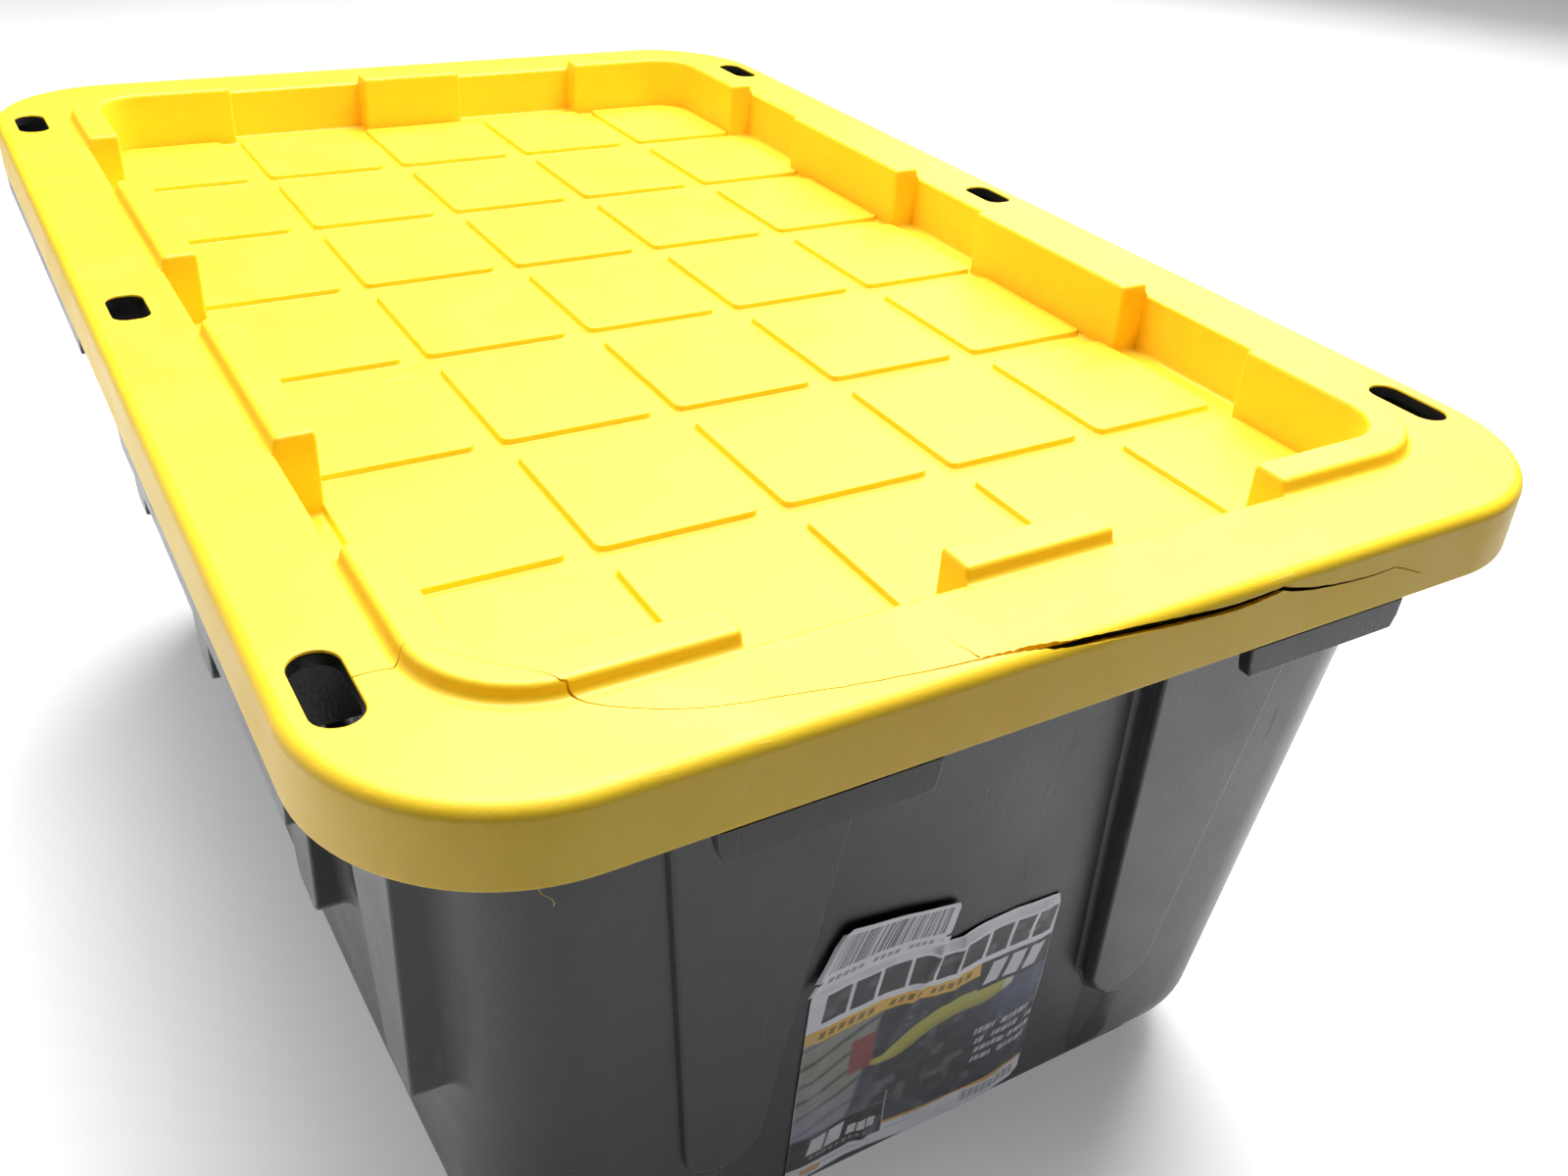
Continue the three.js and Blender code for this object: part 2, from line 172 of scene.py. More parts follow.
def outline(hx, hy, r, n=10, ex=1, ey=1):
    pts = []
    r = max(r, 0.05)
    for k, (sx, sy, a0) in enumerate(((1, 1, 0), (-1, 1, 90), (-1, -1, 180), (1, -1, 270))):
        for i in range(n + 1):
            a = math.radians(a0 + 90.0 * i / n)
            pts.append((sx * (hx - r) + r * math.cos(a), sy * (hy - r) + r * math.sin(a)))
        p = pts[-1]
        m = ex if k % 2 == 0 else ey
        q = ((-p[0], p[1]) if k % 2 == 0 else (p[0], -p[1]))
        for i in range(1, m):
            pts.append((p[0] + (q[0] - p[0]) * i / m, p[1] + (q[1] - p[1]) * i / m))
    return pts


def tube(name, rings, move=None):
    """Closed loft through rings of matching points (x, y, z), capped."""
    m = len(rings[0])
    verts = [v for r in rings for v in r]
    if move:
        verts = [move(*v) for v in verts]
    faces = []
    for k in range(len(rings) - 1):
        for i in range(m):
            j = (i + 1) % m
            faces.append((k * m + i, k * m + j, (k + 1) * m + j, (k + 1) * m + i))
    faces.append(tuple(reversed(range(m))))
    faces.append(tuple(range((len(rings) - 1) * m, len(rings) * m)))
    return obj(name, verts, faces)


def loft(name, levels, n=10, ex=1, ey=1, move=None, at=(0, 0)):
    return tube(name, [[(x + at[0], y + at[1], z) for x, y in outline(hx, hy, r, n, ex, ey)]
                       for z, hx, hy, r in levels], move)


def fillet(z0, r, steps, up=True, convex=True):
    """(z, inset) pairs for a quarter round of radius r that ends at z0."""
    out = []
    for i in range(steps + 1):
        a = math.pi / 2 * i / steps
        if convex:
            out.append((z0 - r + r * math.sin(a), r * (1 - math.cos(a))))
        else:
            out.append((z0 + r * (1 - math.cos(a)), -r * (1 - math.sin(a))))
    return out


def wall_block(name, near, far, d_near, d_far, place):
    n = len(near)
    verts = [place(u, d_near(z), z) for u, z in near] + [place(u, d_far(z), z) for u, z in far]
    faces = [tuple(range(n)), tuple(range(2 * n - 1, n - 1, -1))]
    for i in range(n):
        j = (i + 1) % n
        faces.append((i, i + n, j + n, j))
    o = obj(name, verts, faces)
    bm = bmesh.new()
    bm.from_mesh(o.data)
    bmesh.ops.recalc_face_normals(bm, faces=bm.faces)
    if bm.calc_volume(signed=True) < 0:
        bmesh.ops.reverse_faces(bm, faces=bm.faces)
    bm.to_mesh(o.data)
    bm.free()
    return o


def ring_block(name, rings, place):
    """Closed block through matching rings; each ring is (polygon of (u, z), distance function of (u, z))."""
    n = len(rings[0][0])
    verts = [place(u, f(u, z), z) for poly, f in rings for u, z in poly]
    faces = [tuple(range(n)), tuple(range(len(verts) - 1, len(verts) - n - 1, -1))]
    for k in range(len(rings) - 1):
        for i in range(n):
            j = (i + 1) % n
            faces.append((k * n + i, (k + 1) * n + i, (k + 1) * n + j, k * n + j))
    o = obj(name, verts, faces)
    bm = bmesh.new()
    bm.from_mesh(o.data)
    bmesh.ops.recalc_face_normals(bm, faces=bm.faces)
    if bm.calc_volume(signed=True) < 0:
        bmesh.ops.reverse_faces(bm, faces=bm.faces)
    bm.to_mesh(o.data)
    bm.free()
    return o


def grown(poly, g, gz=None):
    """A convex polygon of (u, z) grown by g along its corner normals."""
    p = np.array(poly, float)
    c = p.mean(0)
    e1, e0 = np.roll(p, -1, 0) - p, p - np.roll(p, 1, 0)
    n1 = np.stack([e1[:, 1], -e1[:, 0]], 1) / np.linalg.norm(e1, axis=1)[:, None]
    n0 = np.stack([e0[:, 1], -e0[:, 0]], 1) / np.linalg.norm(e0, axis=1)[:, None]
    n = n0 + n1
    n /= np.maximum((n * n).sum(1, keepdims=True) / 2, 0.35)
    if ((p - c) * n).sum() < 0:
        n = -n
    return [tuple(q) for q in p + n * g]


def split(poly, step):
    """More points along a polygon's long sides."""
    out = []
    for i, p in enumerate(poly):
        q = poly[(i + 1) % len(poly)]
        m = max(1, int(math.hypot(q[0] - p[0], q[1] - p[1]) / step))
        out += [(p[0] + (q[0] - p[0]) * k / m, p[1] + (q[1] - p[1]) * k / m) for k in range(m)]
    return out


def box(name, x0, y0, z0, x1, y1, z1):
    v = [(x, y, z) for z in (z0, z1) for x, y in ((x0, y0), (x1, y0), (x1, y1), (x0, y1))]
    f = [(3, 2, 1, 0), (4, 5, 6, 7), (0, 1, 5, 4), (1, 2, 6, 5), (2, 3, 7, 6), (3, 0, 4, 7)]
    return obj(name, v, f)


def on_end(s):
    return lambda u, d, z: (u, s * d, z)


def on_side(s):
    return lambda u, d, z: (s * d, u, z)


def finish_mesh(o, angle=32, body=None, material=None, weighted=True):
    """Scales to metres, shades smooth with sharp creases, and puts it on its body."""
    me = o.data
    bm = bmesh.new()
    bm.from_mesh(me)
    bmesh.ops.remove_doubles(bm, verts=bm.verts, dist=0.004)
    bmesh.ops.dissolve_degenerate(bm, edges=bm.edges, dist=0.002)
    bm.to_mesh(me)
    bm.free()
    me.transform(Matrix.Scale(0.001, 4))
    me.update()
    me.shade_smooth()
    me.set_sharp_from_angle(angle=math.radians(angle))
    if weighted:
        m = o.modifiers.new("normals", "WEIGHTED_NORMAL")
        m.mode, m.weight, m.keep_sharp = "FACE_AREA", 60, True
    me.materials.clear()
    me.materials.append(material)
    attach(o, body)
    return o


def smooth_curve(points, lo, hi, width):
    """Piecewise line through points, rounded by a moving average."""
    xs = np.arange(lo - 3 * width, hi + 3 * width, 0.5)
    ys = np.interp(xs, [p[0] for p in points], [p[1] for p in points])
    k = max(1, int(width / 0.5))
    ker = np.hanning(2 * k + 1)
    ker /= ker.sum()
    pad = np.pad(ys, k, mode="edge")
    ys = np.convolve(pad, ker, mode="valid")
    return lambda d: float(np.interp(d, xs, ys))


# --------------------------------------------------------------- materials
def new_material(name):
    mat = bpy.data.materials.new(name)
    mat.use_nodes = True
    nt = mat.node_tree
    nt.nodes.clear()
    out = nt.nodes.new("ShaderNodeOutputMaterial")
    bsdf = nt.nodes.new("ShaderNodeBsdfPrincipled")
    nt.links.new(bsdf.outputs[0], out.inputs[0])
    return mat, nt, bsdf


class Net:
    """Small helper that wires procedural nodes on object coordinates."""

    def __init__(self, nt):
        self.nt = nt
        self.tc = nt.nodes.new("ShaderNodeTexCoord")

    def link(self, a, b):
        self.nt.links.new(a, b)

    def coords(self, scale=(1, 1, 1), rot=(0, 0, 0)):
        m = self.nt.nodes.new("ShaderNodeMapping")
        m.inputs["Scale"].default_value = scale
        m.inputs["Rotation"].default_value = rot
        self.link(self.tc.outputs["Object"], m.inputs[0])
        return m.outputs[0]

    def noise(self, scale, detail=4, rough=0.55, vec=None, distortion=0.0):
        n = self.nt.nodes.new("ShaderNodeTexNoise")
        n.inputs["Scale"].default_value = scale
        n.inputs["Detail"].default_value = detail
        n.inputs["Roughness"].default_value = rough
        n.inputs["Distortion"].default_value = distortion
        self.link(vec or self.tc.outputs["Object"], n.inputs["Vector"])
        return n.outputs["Fac"]

    def ramp(self, fac, stops):
        r = self.nt.nodes.new("ShaderNodeValToRGB")
        e = r.color_ramp.elements
        while len(e) > 1:
            e.remove(e[-1])
        e[0].position, e[0].color = stops[0][0], stops[0][1]
        for p, c in stops[1:]:
            k = e.new(p)
            k.color = c
        self.link(fac, r.inputs[0])
        return r.outputs[0]

    def grey(self, fac, a, va, b, vb):
        r = self.nt.nodes.new("ShaderNodeMapRange")
        r.inputs["From Min"].default_value, r.inputs["From Max"].default_value = a, b
        r.inputs["To Min"].default_value, r.inputs["To Max"].default_value = va, vb
        self.link(fac, r.inputs["Value"])
        return r.outputs[0]

    def math(self, op, a, b=None, clamp=False):
        m = self.nt.nodes.new("ShaderNodeMath")
        m.operation, m.use_clamp = op, clamp
        for i, v in enumerate((a, b)):
            if v is None:
                continue
            if isinstance(v, (int, float)):
                m.inputs[i].default_value = v
            else:
                self.link(v, m.inputs[i])
        return m.outputs[0]

    def mix(self, fac, a, b, kind="MIX"):
        m = self.nt.nodes.new("ShaderNodeMix")
        m.data_type, m.blend_type = "RGBA", kind
        for sock, v in ((m.inputs[0], fac), (m.inputs[6], a), (m.inputs[7], b)):
            if isinstance(v, (int, float, tuple)):
                sock.default_value = v
            else:
                self.link(v, sock)
        return m.outputs[2]

    def bump(self, height, strength, distance, normal=None):
        b = self.nt.nodes.new("ShaderNodeBump")
        b.inputs["Strength"].default_value = strength
        b.inputs["Distance"].default_value = distance
        self.link(height, b.inputs["Height"])
        if normal is not None:
            self.link(normal, b.inputs["Normal"])
        return b.outputs[0]

    def scratches(self, scale, stretch, angle, low, high):
        """Thin marks: stretched noise cut to its narrow peaks."""
        v = self.coords((scale, scale * stretch, scale), (0, 0, math.radians(angle)))
        f = self.noise(1.0, 3, 0.6, v, 0.3)
        return self.grey(f, low, 0.0, high, 1.0)


def lid_material():
    mat, nt, b = new_material("yellow_moulded_plastic")
    n = Net(nt)
    base = (0.96, 0.66, 0.028, 1)
    cloud = n.grey(n.noise(7, 3), 0.35, 0.0, 0.65, 1.0)
    col = n.mix(cloud, (0.93, 0.60, 0.022, 1), base)
    fine = n.grey(n.noise(160, 3), 0.3, 0.0, 0.7, 1.0)
    col = n.mix(n.math("MULTIPLY", fine, 0.14), col, (0.80, 0.45, 0.012, 1))
    # pale scuffs: short, scattered, only in patches
    patch = n.grey(n.noise(9, 2), 0.56, 0.0, 0.66, 1.0)
    s1 = n.scratches(60, 9, 25, 0.63, 0.70)
    s2 = n.scratches(75, 7, -48, 0.64, 0.71)
    scuff = n.math("MULTIPLY", n.math("MAXIMUM", s1, s2), patch, True)
    col = n.mix(n.math("MULTIPLY", scuff, 0.16), col, (0.98, 0.83, 0.36, 1))
    # dust specks
    dots = n.grey(n.noise(420, 1), 0.74, 0.0, 0.79, 1.0)
    col = n.mix(n.math("MULTIPLY", dots, 0.25), col, (0.55, 0.36, 0.06, 1))
    n.link(col, b.inputs["Base Color"])
    rough = n.math("ADD", n.grey(n.noise(30, 4), 0.3, 0.40, 0.7, 0.52),
                   n.math("MULTIPLY", scuff, 0.2), True)
    n.link(rough, b.inputs["Roughness"])
    grain = n.noise(900, 2, 0.6)
    nb = n.bump(grain, 0.22, 0.0004)
    nb = n.bump(n.noise(28, 2), 0.25, 0.0012, nb)
    nb = n.bump(scuff, 0.2, 0.0003, nb)
    n.link(nb, b.inputs["Normal"])
    b.inputs["IOR"].default_value = 1.49
    b.inputs["Subsurface Weight"].default_value = 0.0
    return mat


def tub_material():
    mat, nt, b = new_material("black_moulded_plastic")
    n = Net(nt)
    cloud = n.grey(n.noise(6, 4), 0.35, 0.0, 0.65, 1.0)
    col = n.mix(cloud, (0.0165, 0.0175, 0.019, 1), (0.023, 0.0242, 0.026, 1))
    patch = n.grey(n.noise(7, 2), 0.50, 0.0, 0.62, 1.0)
    # faint pale rubs, mostly upright, from sliding against other bins
    v1 = n.coords((90, 90, 9), (0.10, 0.06, 0.3))
    v2 = n.coords((70, 70, 14), (-0.35, -0.2, 0.9))
    r1 = n.grey(n.noise(1, 3, 0.6, v1, 0.2), 0.64, 0.0, 0.72, 1.0)
    r2 = n.grey(n.noise(1, 3, 0.6, v2, 0.2), 0.66, 0.0, 0.74, 1.0)
    rub = n.math("MULTIPLY", n.math("MAXIMUM", r1, r2), patch, True)
    col = n.mix(n.math("MULTIPLY", rub, 0.30), col, (0.14, 0.145, 0.15, 1))
    dust = n.grey(n.noise(260, 3, 0.65), 0.66, 0.0, 0.80, 1.0)
    col = n.mix(n.math("MULTIPLY", dust, 0.22), col, (0.20, 0.20, 0.20, 1))
    n.link(col, b.inputs["Base Color"])
    rough = n.math("ADD", n.grey(n.noise(24, 4), 0.3, 0.32, 0.7, 0.41),
                   n.math("MULTIPLY", rub, 0.12), True)
    n.link(rough, b.inputs["Roughness"])
    nb = n.bump(n.noise(700, 2, 0.6), 0.32, 0.0005)
    nb = n.bump(n.noise(14, 2), 0.22, 0.0022, nb)
    nb = n.bump(rub, 0.2, 0.0003, nb)
    n.link(nb, b.inputs["Normal"])
    b.inputs["IOR"].default_value = 1.5
    b.inputs["Specular IOR Level"].default_value = 0.5
    return mat


def print_material(name, gloss, coat):
    """Printed paper: ink from the piece's own painted attribute, paper fibre and creases on top."""
    mat, nt, b = new_material(name)
    n = Net(nt)
    a = nt.nodes.new("ShaderNodeAttribute")
    a.attribute_name = "ink"
    col = a.outputs["Color"]
    fibre = n.grey(n.noise(900, 3), 0.3, 0.90, 0.7, 1.0)
    col = n.mix(1.0, col, n.mix(fibre, (0.86, 0.86, 0.88, 1), (1, 1, 1, 1)), "MULTIPLY")
    wear = n.grey(n.noise(55, 5, 0.7), 0.62, 0.0, 0.72, 1.0)
    col = n.mix(n.math("MULTIPLY", wear, 0.35), col, (0.62, 0.62, 0.64, 1))
    n.link(col, b.inputs["Base Color"])
    n.link(n.grey(n.noise(60, 3), 0.3, gloss - 0.06, 0.7, gloss + 0.08), b.inputs["Roughness"])
    nb = n.bump(n.noise(1400, 2), 0.10, 0.0002)
    nb = n.bump(n.noise(38, 4, 0.6, None, 0.8), 0.30, 0.0012, nb)
    n.link(nb, b.inputs["Normal"])
    b.inputs["Coat Weight"].default_value = coat
    b.inputs["Coat Roughness"].default_value = 0.25
    return mat


YELLOW = lid_material()
BLACK = tub_material()
PAPER = print_material("printed_label_film", 0.42, 0.15)
STICKER = print_material("sticker_paper", 0.50, 0.05)


# --------------------------------------------------------------------- lid
def ridge_band(sx, sy, kind, z, o_out, o_in, e, rc, n_arc=10, n_end=4):
    """Plan of one stacking ridge at height z: between two offsets of the tray's wall line."""
    rc = max(rc, 0.05)

    def path(o):
        if kind == "corner":
            r = BR - o
            p = [(BX - o, 246 + e)]
            for i in range(n_arc + 1):
                a = math.pi / 2 * i / n_arc
                p.append((BX - BR + r * math.cos(a), BY - BR + r * math.sin(a)))
            p.append((119 + e, BY - o))
            return p
        if kind == "long":
            return [(BX - o, 40 + e), (BX - o, 163 - e)]
        return [(33 - e, BY - o), (-33 + e, BY - o)]

    outer, inner = path(o_out), path(o_in)

    def rounded(corner, before, after):
        """points from the side 'before' to the side 'after' round the corner"""
        c, b, a = np.array(corner), np.array(before, float), np.array(after, float)
        ub, ua = (b - c) / np.linalg.norm(b - c), (a - c) / np.linalg.norm(a - c)
        mid = c + (ub + ua) * rc
        out = []
        for i in range(n_end + 1):
            t = math.pi / 2 * i / n_end
            out.append(tuple(mid - ua * rc * math.cos(t) - ub * rc * math.sin(t)))
        return out

    pts = []
    pts += rounded(outer[0], inner[0], outer[1])
    pts += outer[1:-1]
    pts += rounded(outer[-1], outer[-2], inner[-1])
    pts += rounded(inner[-1], outer[-1], inner[-2])
    pts += inner[1:-1][::-1]
    pts += rounded(inner[0], inner[1], outer[0])
    return [(sx * x, sy * y, z) for x, y in pts]


def ridge(name, sx, sy, kind):
    rows = [(-31.6, -2.9, RW + 1.6, -1.6, 0.6), (-29.4, -2.9, RW + 1.6, -1.6, 0.6),
            (-29.15, -2.9, RW + 0.85, -0.85, 1.2), (-28.6, -2.9, RW + 0.3, -0.3, 1.7),
            (-27.8, -2.9, RW, 0.0, 2.0), (-2.6, -2.9, RW, 0.0, 2.0), (-2.2, -4.2, RW, 0.0, 2.0), (-0.04, -4.2, RW, 0.0, 2.0)]
    f, r = 3.0, 2.6               # soft root where the ridge leaves the flange, rounded top
    for i in range(9):
        a = math.pi / 2 * i / 8
        rows.append((0.03 + f * (1 - math.cos(a)), -0.4 - f * (1 - math.sin(a)), RW, 0.0, 2.0))
    for i in range(9):
        a = math.pi / 2 * i / 8
        d = r * (1 - math.cos(a))
        rows.append((RH - r + r * math.sin(a), -0.2 + d, RW - d * 0.6, d * 0.6, 2.0 - d * 0.5))
    rings = []
    for z, o_out, o_in, e, rc in rows:
        rings.append(ridge_band(sx, sy, kind, FZ + z, o_out, o_in, e, rc))
    return tube(name, rings)


def hollow(name, sx, sy, kind):
    """The ridge's void from below."""
    rings = []
    for z, d in ((-40, 0.0), (RH - SHEET - 1.5, 0.0), (RH - SHEET, 1.2)):
        rings.append(ridge_band(sx, sy, kind, FZ + z, SHEET + d if z > -3 else SHEET, RW - SHEET - d, SHEET + d, 1.0))
    return tube(name, rings)


RIDGES = [(sx, sy, k) for sx in (-1, 1) for sy in (-1, 1) for k in ("corner", "long")]
RIDGES += [(1, sy, "mid") for sy in (-1, 1)]

# a crack runs from the near corner slot over the corner ridge, along the front of
# the flange, then over the rounded edge and down the face of the skirt
CRACK = [  # x, y, height over the flange, normal (y, z), width
    (-233.5, -310.9, 0.0, 0, 0.50), (-230.2, -311.0, 0.0, 0, 0.60), (-224.9, -310.9, 0.0, 0, 0.45),
    (-221.6, -311.4, 0.0, 0, 0.50), (-219.9, -311.9, 0.5, 0, 0.55), (-218.8, -311.9, 3.0, 0, 0.55),
    (-217.9, -311.0, 6.0, 0, 0.50), (-216.4, -309.7, 6.0, 0, 0.42), (-213.4, -309.3, 6.0, 0, 0.22),
    (-210.0, -312.2, 6.0, 0, 0.14), (-203.1, -320.6, 6.0, 0, 0.20), (-195.8, -328.8, 6.0, 0, 0.25),
    (-188.2, -334.9, 6.0, 0, 0.28), (-182.3, -341.5, 6.0, 0, 0.36), (-179.9, -345.4, 5.5, 0, 0.6),
    (-178.3, -346.0, 3.0, 0, 0.75), (-177.6, -347.4, 0.6, 0, 0.75), (-174.4, -352.2, 0.0, 0, 0.65),
    (-169.8, -356.2, 0.0, 0, 0.55), (-164.9, -359.4, 0.0, 0, 0.50),
    (-155.1, -365.2, 0.0, 0, 0.50), (-144.4, -369.4, 0.0, 0, 0.45), (-133.0, -372.2, 0.0, 0, 0.45),
    (-120.7, -374.4, 0.0, 0, 0.50), (-105.5, -377.6, 0.0, 0, 0.50), (-89.7, -380.6, 0.0, 0, 0.55),
    (-72.0, -383.0, 0.0, 0, 0.60), (-54.7, -384.6, 0.0, 4, 0.75), (-46.5, -385.2, 0.0, 8, 0.9),
    (-38.7, -386.0, -0.1, 14, 1.1), (-31.0, -387.2, -0.4, 24, 1.3), (-25.0, -388.3, -1.0, 36, 1.5),
    (-18.0, -389.1, -1.5, 44, 1.6), (-9.0, -389.8, -2.2, 55, 1.9), (2.0, -390.2, -2.9, 64, 2.1),
    (12.0, -390.4, -3.6, 72, 2.2), (23.0, -390.6, -4.6, 80, 2.2), (33.0, -390.6, -5.6, 88, 2.1),
    (42.0, -390.6, -6.4, 90, 2.0), (51.0, -390.7, -6.9, 90, 2.1), (60.7, -390.7, -6.8, 90, 2.1),
    (69.0, -390.7, -6.2, 90, 1.8), (76.0, -390.7, -5.5, 90, 1.4), (81.0, -390.7, -7.4, 90, 1.3),
    (91.0, -390.7, -9.9, 90, 1.0), (102.3, -390.8, -11.6, 90, 0.8), (113.0, -390.8, -12.7, 90, 0.65),
    (124.0, -390.8, -13.2, 90, 0.5), (137.5, -390.8, -12.9, 90, 0.42), (146.0, -390.8, -16.3, 90, 0.36),
    (154.6, -390.8, -20.0, 90, 0.28)]
BRANCH = [(-57.8, -371.0, 0.0, 0, 0.3), (-57.0, -375.0, 0.0, 0, 0.42), (-55.6, -380.5, 0.0, 0, 0.5),
          (-54.9, -384.0, 0.0, 0, 0.55)]


def blade(name, path, widen=1.0):
    """Closed ribbon that follows a path over the lid's surface, cutting through the sheet."""
    fine = []
    for i in range(len(path) - 1):
        a, b = np.array(path[i], float), np.array(path[i + 1], float)
        m = max(1, int(np.linalg.norm((b - a)[:3]) / 3.2))
        for k in range(m):
            q = a + (b - a) * k / m
            if 0 < i < len(path) - 2 and k:
                q[0] += RNG.uniform(-0.18, 0.18)
                q[1] += RNG.uniform(-0.18, 0.18) * math.cos(math.radians(q[3]))
                q[2] += RNG.uniform(-0.16, 0.16) * math.sin(math.radians(q[3]))
            fine.append(q)
    fine.append(np.array(path[-1], float))
    fine = np.array(fine)
    rings = []
    for i, q in enumerate(fine):
        p = np.array((q[0], q[1], q[2]))
        t = fine[min(i + 1, len(fine) - 1)][:3] - fine[max(i - 1, 0)][:3]
        a = math.radians(min(q[3], 57.0))     # the tear runs inward and down, so its lower face hides
        nrm = np.array((0, -math.sin(a), math.cos(a)))
        t = t - nrm * float(t @ nrm)
        t /= np.linalg.norm(t)
        side = np.cross(nrm, t)
        w = q[4] * widen / 2
        if q[3] < 30:
            up, down = 9.0 - q[2], 5.5 + q[2]
            if q[2] > 1:
                down = 11.0
        else:
            up, down = 5.0, 4.2
        ring = []
        for s, h in ((-1, up), (1, up), (1, -down), (-1, -down)):
            ring.append(tuple(p + side * s * w + nrm * h + np.array((0, 0, FZ))))
        rings.append(ring)
    return tube(name, rings)


def build_lid():
    def level(d, inset):
        return (Z(d), HX - inset, HY - inset, LID_R - inset)
    n = 22
    rows = [(30.0, 1.1), (29.86, 0.6), (29.45, 0.18), (28.8, 0.0), (LID_FIL, 0.4)]
    for i in range(1, 10):
        a = math.pi / 2 * i / 9
        rows.append((LID_FIL * (1 - math.sin(a)), 0.4 + LID_FIL * (1 - math.cos(a))))
    lid = loft("lid_shell", [level(d, i) for d, i in rows], n)
    inner = [(36, SHEET - 0.6), (30.6, SHEET - 0.6), (28.5, SHEET), (6.5, SHEET + 0.4), (4.2, SHEET + 1.2), (3.2, SHEET + 2.8), (SHEET, SHEET + 5)]
    ops = [("DIFFERENCE", loft("under", [level(d, i) for d, i in inner], n))]
    t = SHEET
    ops.append(("UNION", loft("tray", [
        (Z(FLOOR_D + t), BX + t - 1.2, BY + t - 1.2, BR + t), (Z(0.5), BX + t, BY + t, BR + t)], 14)))
    # the tray's void: rounded foot, slight draft, softly rounded lip
    rows = []
    for i in range(6):
        a = math.pi / 2 * i / 5
        rows.append((Z(FLOOR_D) + 2.2 * (1 - math.cos(a)), -1.0 - 2.2 * (1 - math.sin(a))))
    rows += [(Z(20), -0.4), (Z(10), 0.1)]
    for i in range(6):
        a = math.pi / 2 * i / 5
        rows.append((Z(2.0) + 2.0 * math.sin(a), 0.4 + 2.0 * (1 - math.cos(a))))
    rows.append((Z(-12), 2.4))
    ops.append(("DIFFERENCE", loft("tray_void", [(z, BX + d, BY + d, BR + d) for z, d in rows], 14)))
    ops.append(("UNION", merge([ridge("ridge%d" % i, *r) for i, r in enumerate(RIDGES)], "ridges")))
    tiles, pockets = [], []
    for i in range(5):
        for j in range(7):
            cx, cy = (i - 2) * PX, (j - 3) * PY
            lv = [(-31.4, 0.9, 5.0), (-29.3, 0.8, 4.9), (-29.12, 0.4, 4.5), (-28.95, 0.18, 4.2),
                  (-28.6, 0.08, 4.1), (-27.1, -0.15, 3.9), (-26.75, -0.26, 3.8), (-26.5, -0.48, 3.6), (-26.4, -0.95, 3.2)]
            tiles.append(loft("tile", [(FZ + z, TX / 2 + g, TY / 2 + g, r) for z, g, r in lv], 4, at=(cx, cy)))
            pockets.append(loft("pocket", [(Z(FLOOR_D + t + 2), TX / 2 - t, TY / 2 - t, 3),
                                           (Z(FLOOR_D), TX / 2 - t, TY / 2 - t, 3)], 2, at=(cx, cy)))
    ops.append(("UNION", merge(tiles, "tiles")))
    ops.append(("DIFFERENCE", merge(pockets, "pockets")))
    ops.append(("DIFFERENCE", merge([hollow("hollow%d" % i, *r) for i, r in enumerate(RIDGES)], "hollows")))
    cut = []
    for x, y, w, l, r in SLOTS:
        lv = [(Z(15), 1.4), (Z(1.25), 1.4), (Z(1.2), 0.0), (Z(0.9), 0.0), (Z(0.5), 0.12), (Z(0.2), 0.36), (Z(0.0), 0.9), (Z(-12), 0.9)]
        cut.append(loft("slot", [(z, w / 2 + g, l / 2 + g, r + g) for z, g in lv], 9, at=(x, y)))
    ops.append(("DIFFERENCE", merge(cut, "slots")))
    ops.append(("DIFFERENCE", blade("crack", CRACK)))
    ops.append(("DIFFERENCE", blade("crack_branch", BRANCH)))
    lid = boolean(lid, ops)
    # the torn strip in front of the crack sags a little
    me = lid.data
    co = np.empty(len(me.vertices) * 3)
    me.vertices.foreach_get("co", co)
    co = co.reshape(-1, 3)
    cx = np.array([c[0] for c in CRACK[26:]])
    cy = np.array([c[1] for c in CRACK[26:]])
    cz = np.array([c[2] for c in CRACK[26:]])
    zz = co[:, 2] - FZ
    edge_y, edge_z = np.interp(co[:, 0], cx, cy), np.interp(co[:, 0], cx, cz)
    front = (co[:, 1] < edge_y + 0.6) & (zz < edge_z + 0.05) & (co[:, 0] > -75) & (co[:, 0] < 150)
    bell = np.clip(1 - ((co[:, 0] - 12) / 95.0) ** 2, 0, 1) ** 1.5
    fade = np.clip((zz + 30) / 22.0, 0, 1)
    co[:, 2] -= np.where(front, 0.9 * bell * fade, 0)
    me.vertices.foreach_set("co", co.ravel())
    me.update()
    return lid


# --------------------------------------------------------------------- tub
wall_r = lambda d: 48.0
wall_x = lambda d: 225.2 - 0.0715 * d      # half width where the wall meets its corners
BELLY = smooth_curve([(300, 0), (320, 0), (331, 2.5), (339, 7), (344, 12), (346, 15), (352, 40)], 300, 346, 3)
bow_at = smooth_curve([(0, 2), (40, 4), (120, 7.4), (200, 9.0), (280, 7.8), (325, 5.6), (346, 2.5), (362, 0)], 0, 362, 14)


def skin_x(y, z):
    """Half width of the long wall's outer skin at y, bow and corner rounding included."""
    d = FZ - z
    x, yc = wall_x(d), wall_y(d) - wall_r(d)
    if abs(y) > yc:
        t = min(abs(y) - yc, wall_r(d) - 0.5)
        x -= wall_r(d) - math.sqrt(wall_r(d) ** 2 - t * t)
    return x + bow_at(d) * max(0.0, 1 - (y / 300.0) ** 2)


def wall_y(d):
    return 355.6 - 0.08 * d


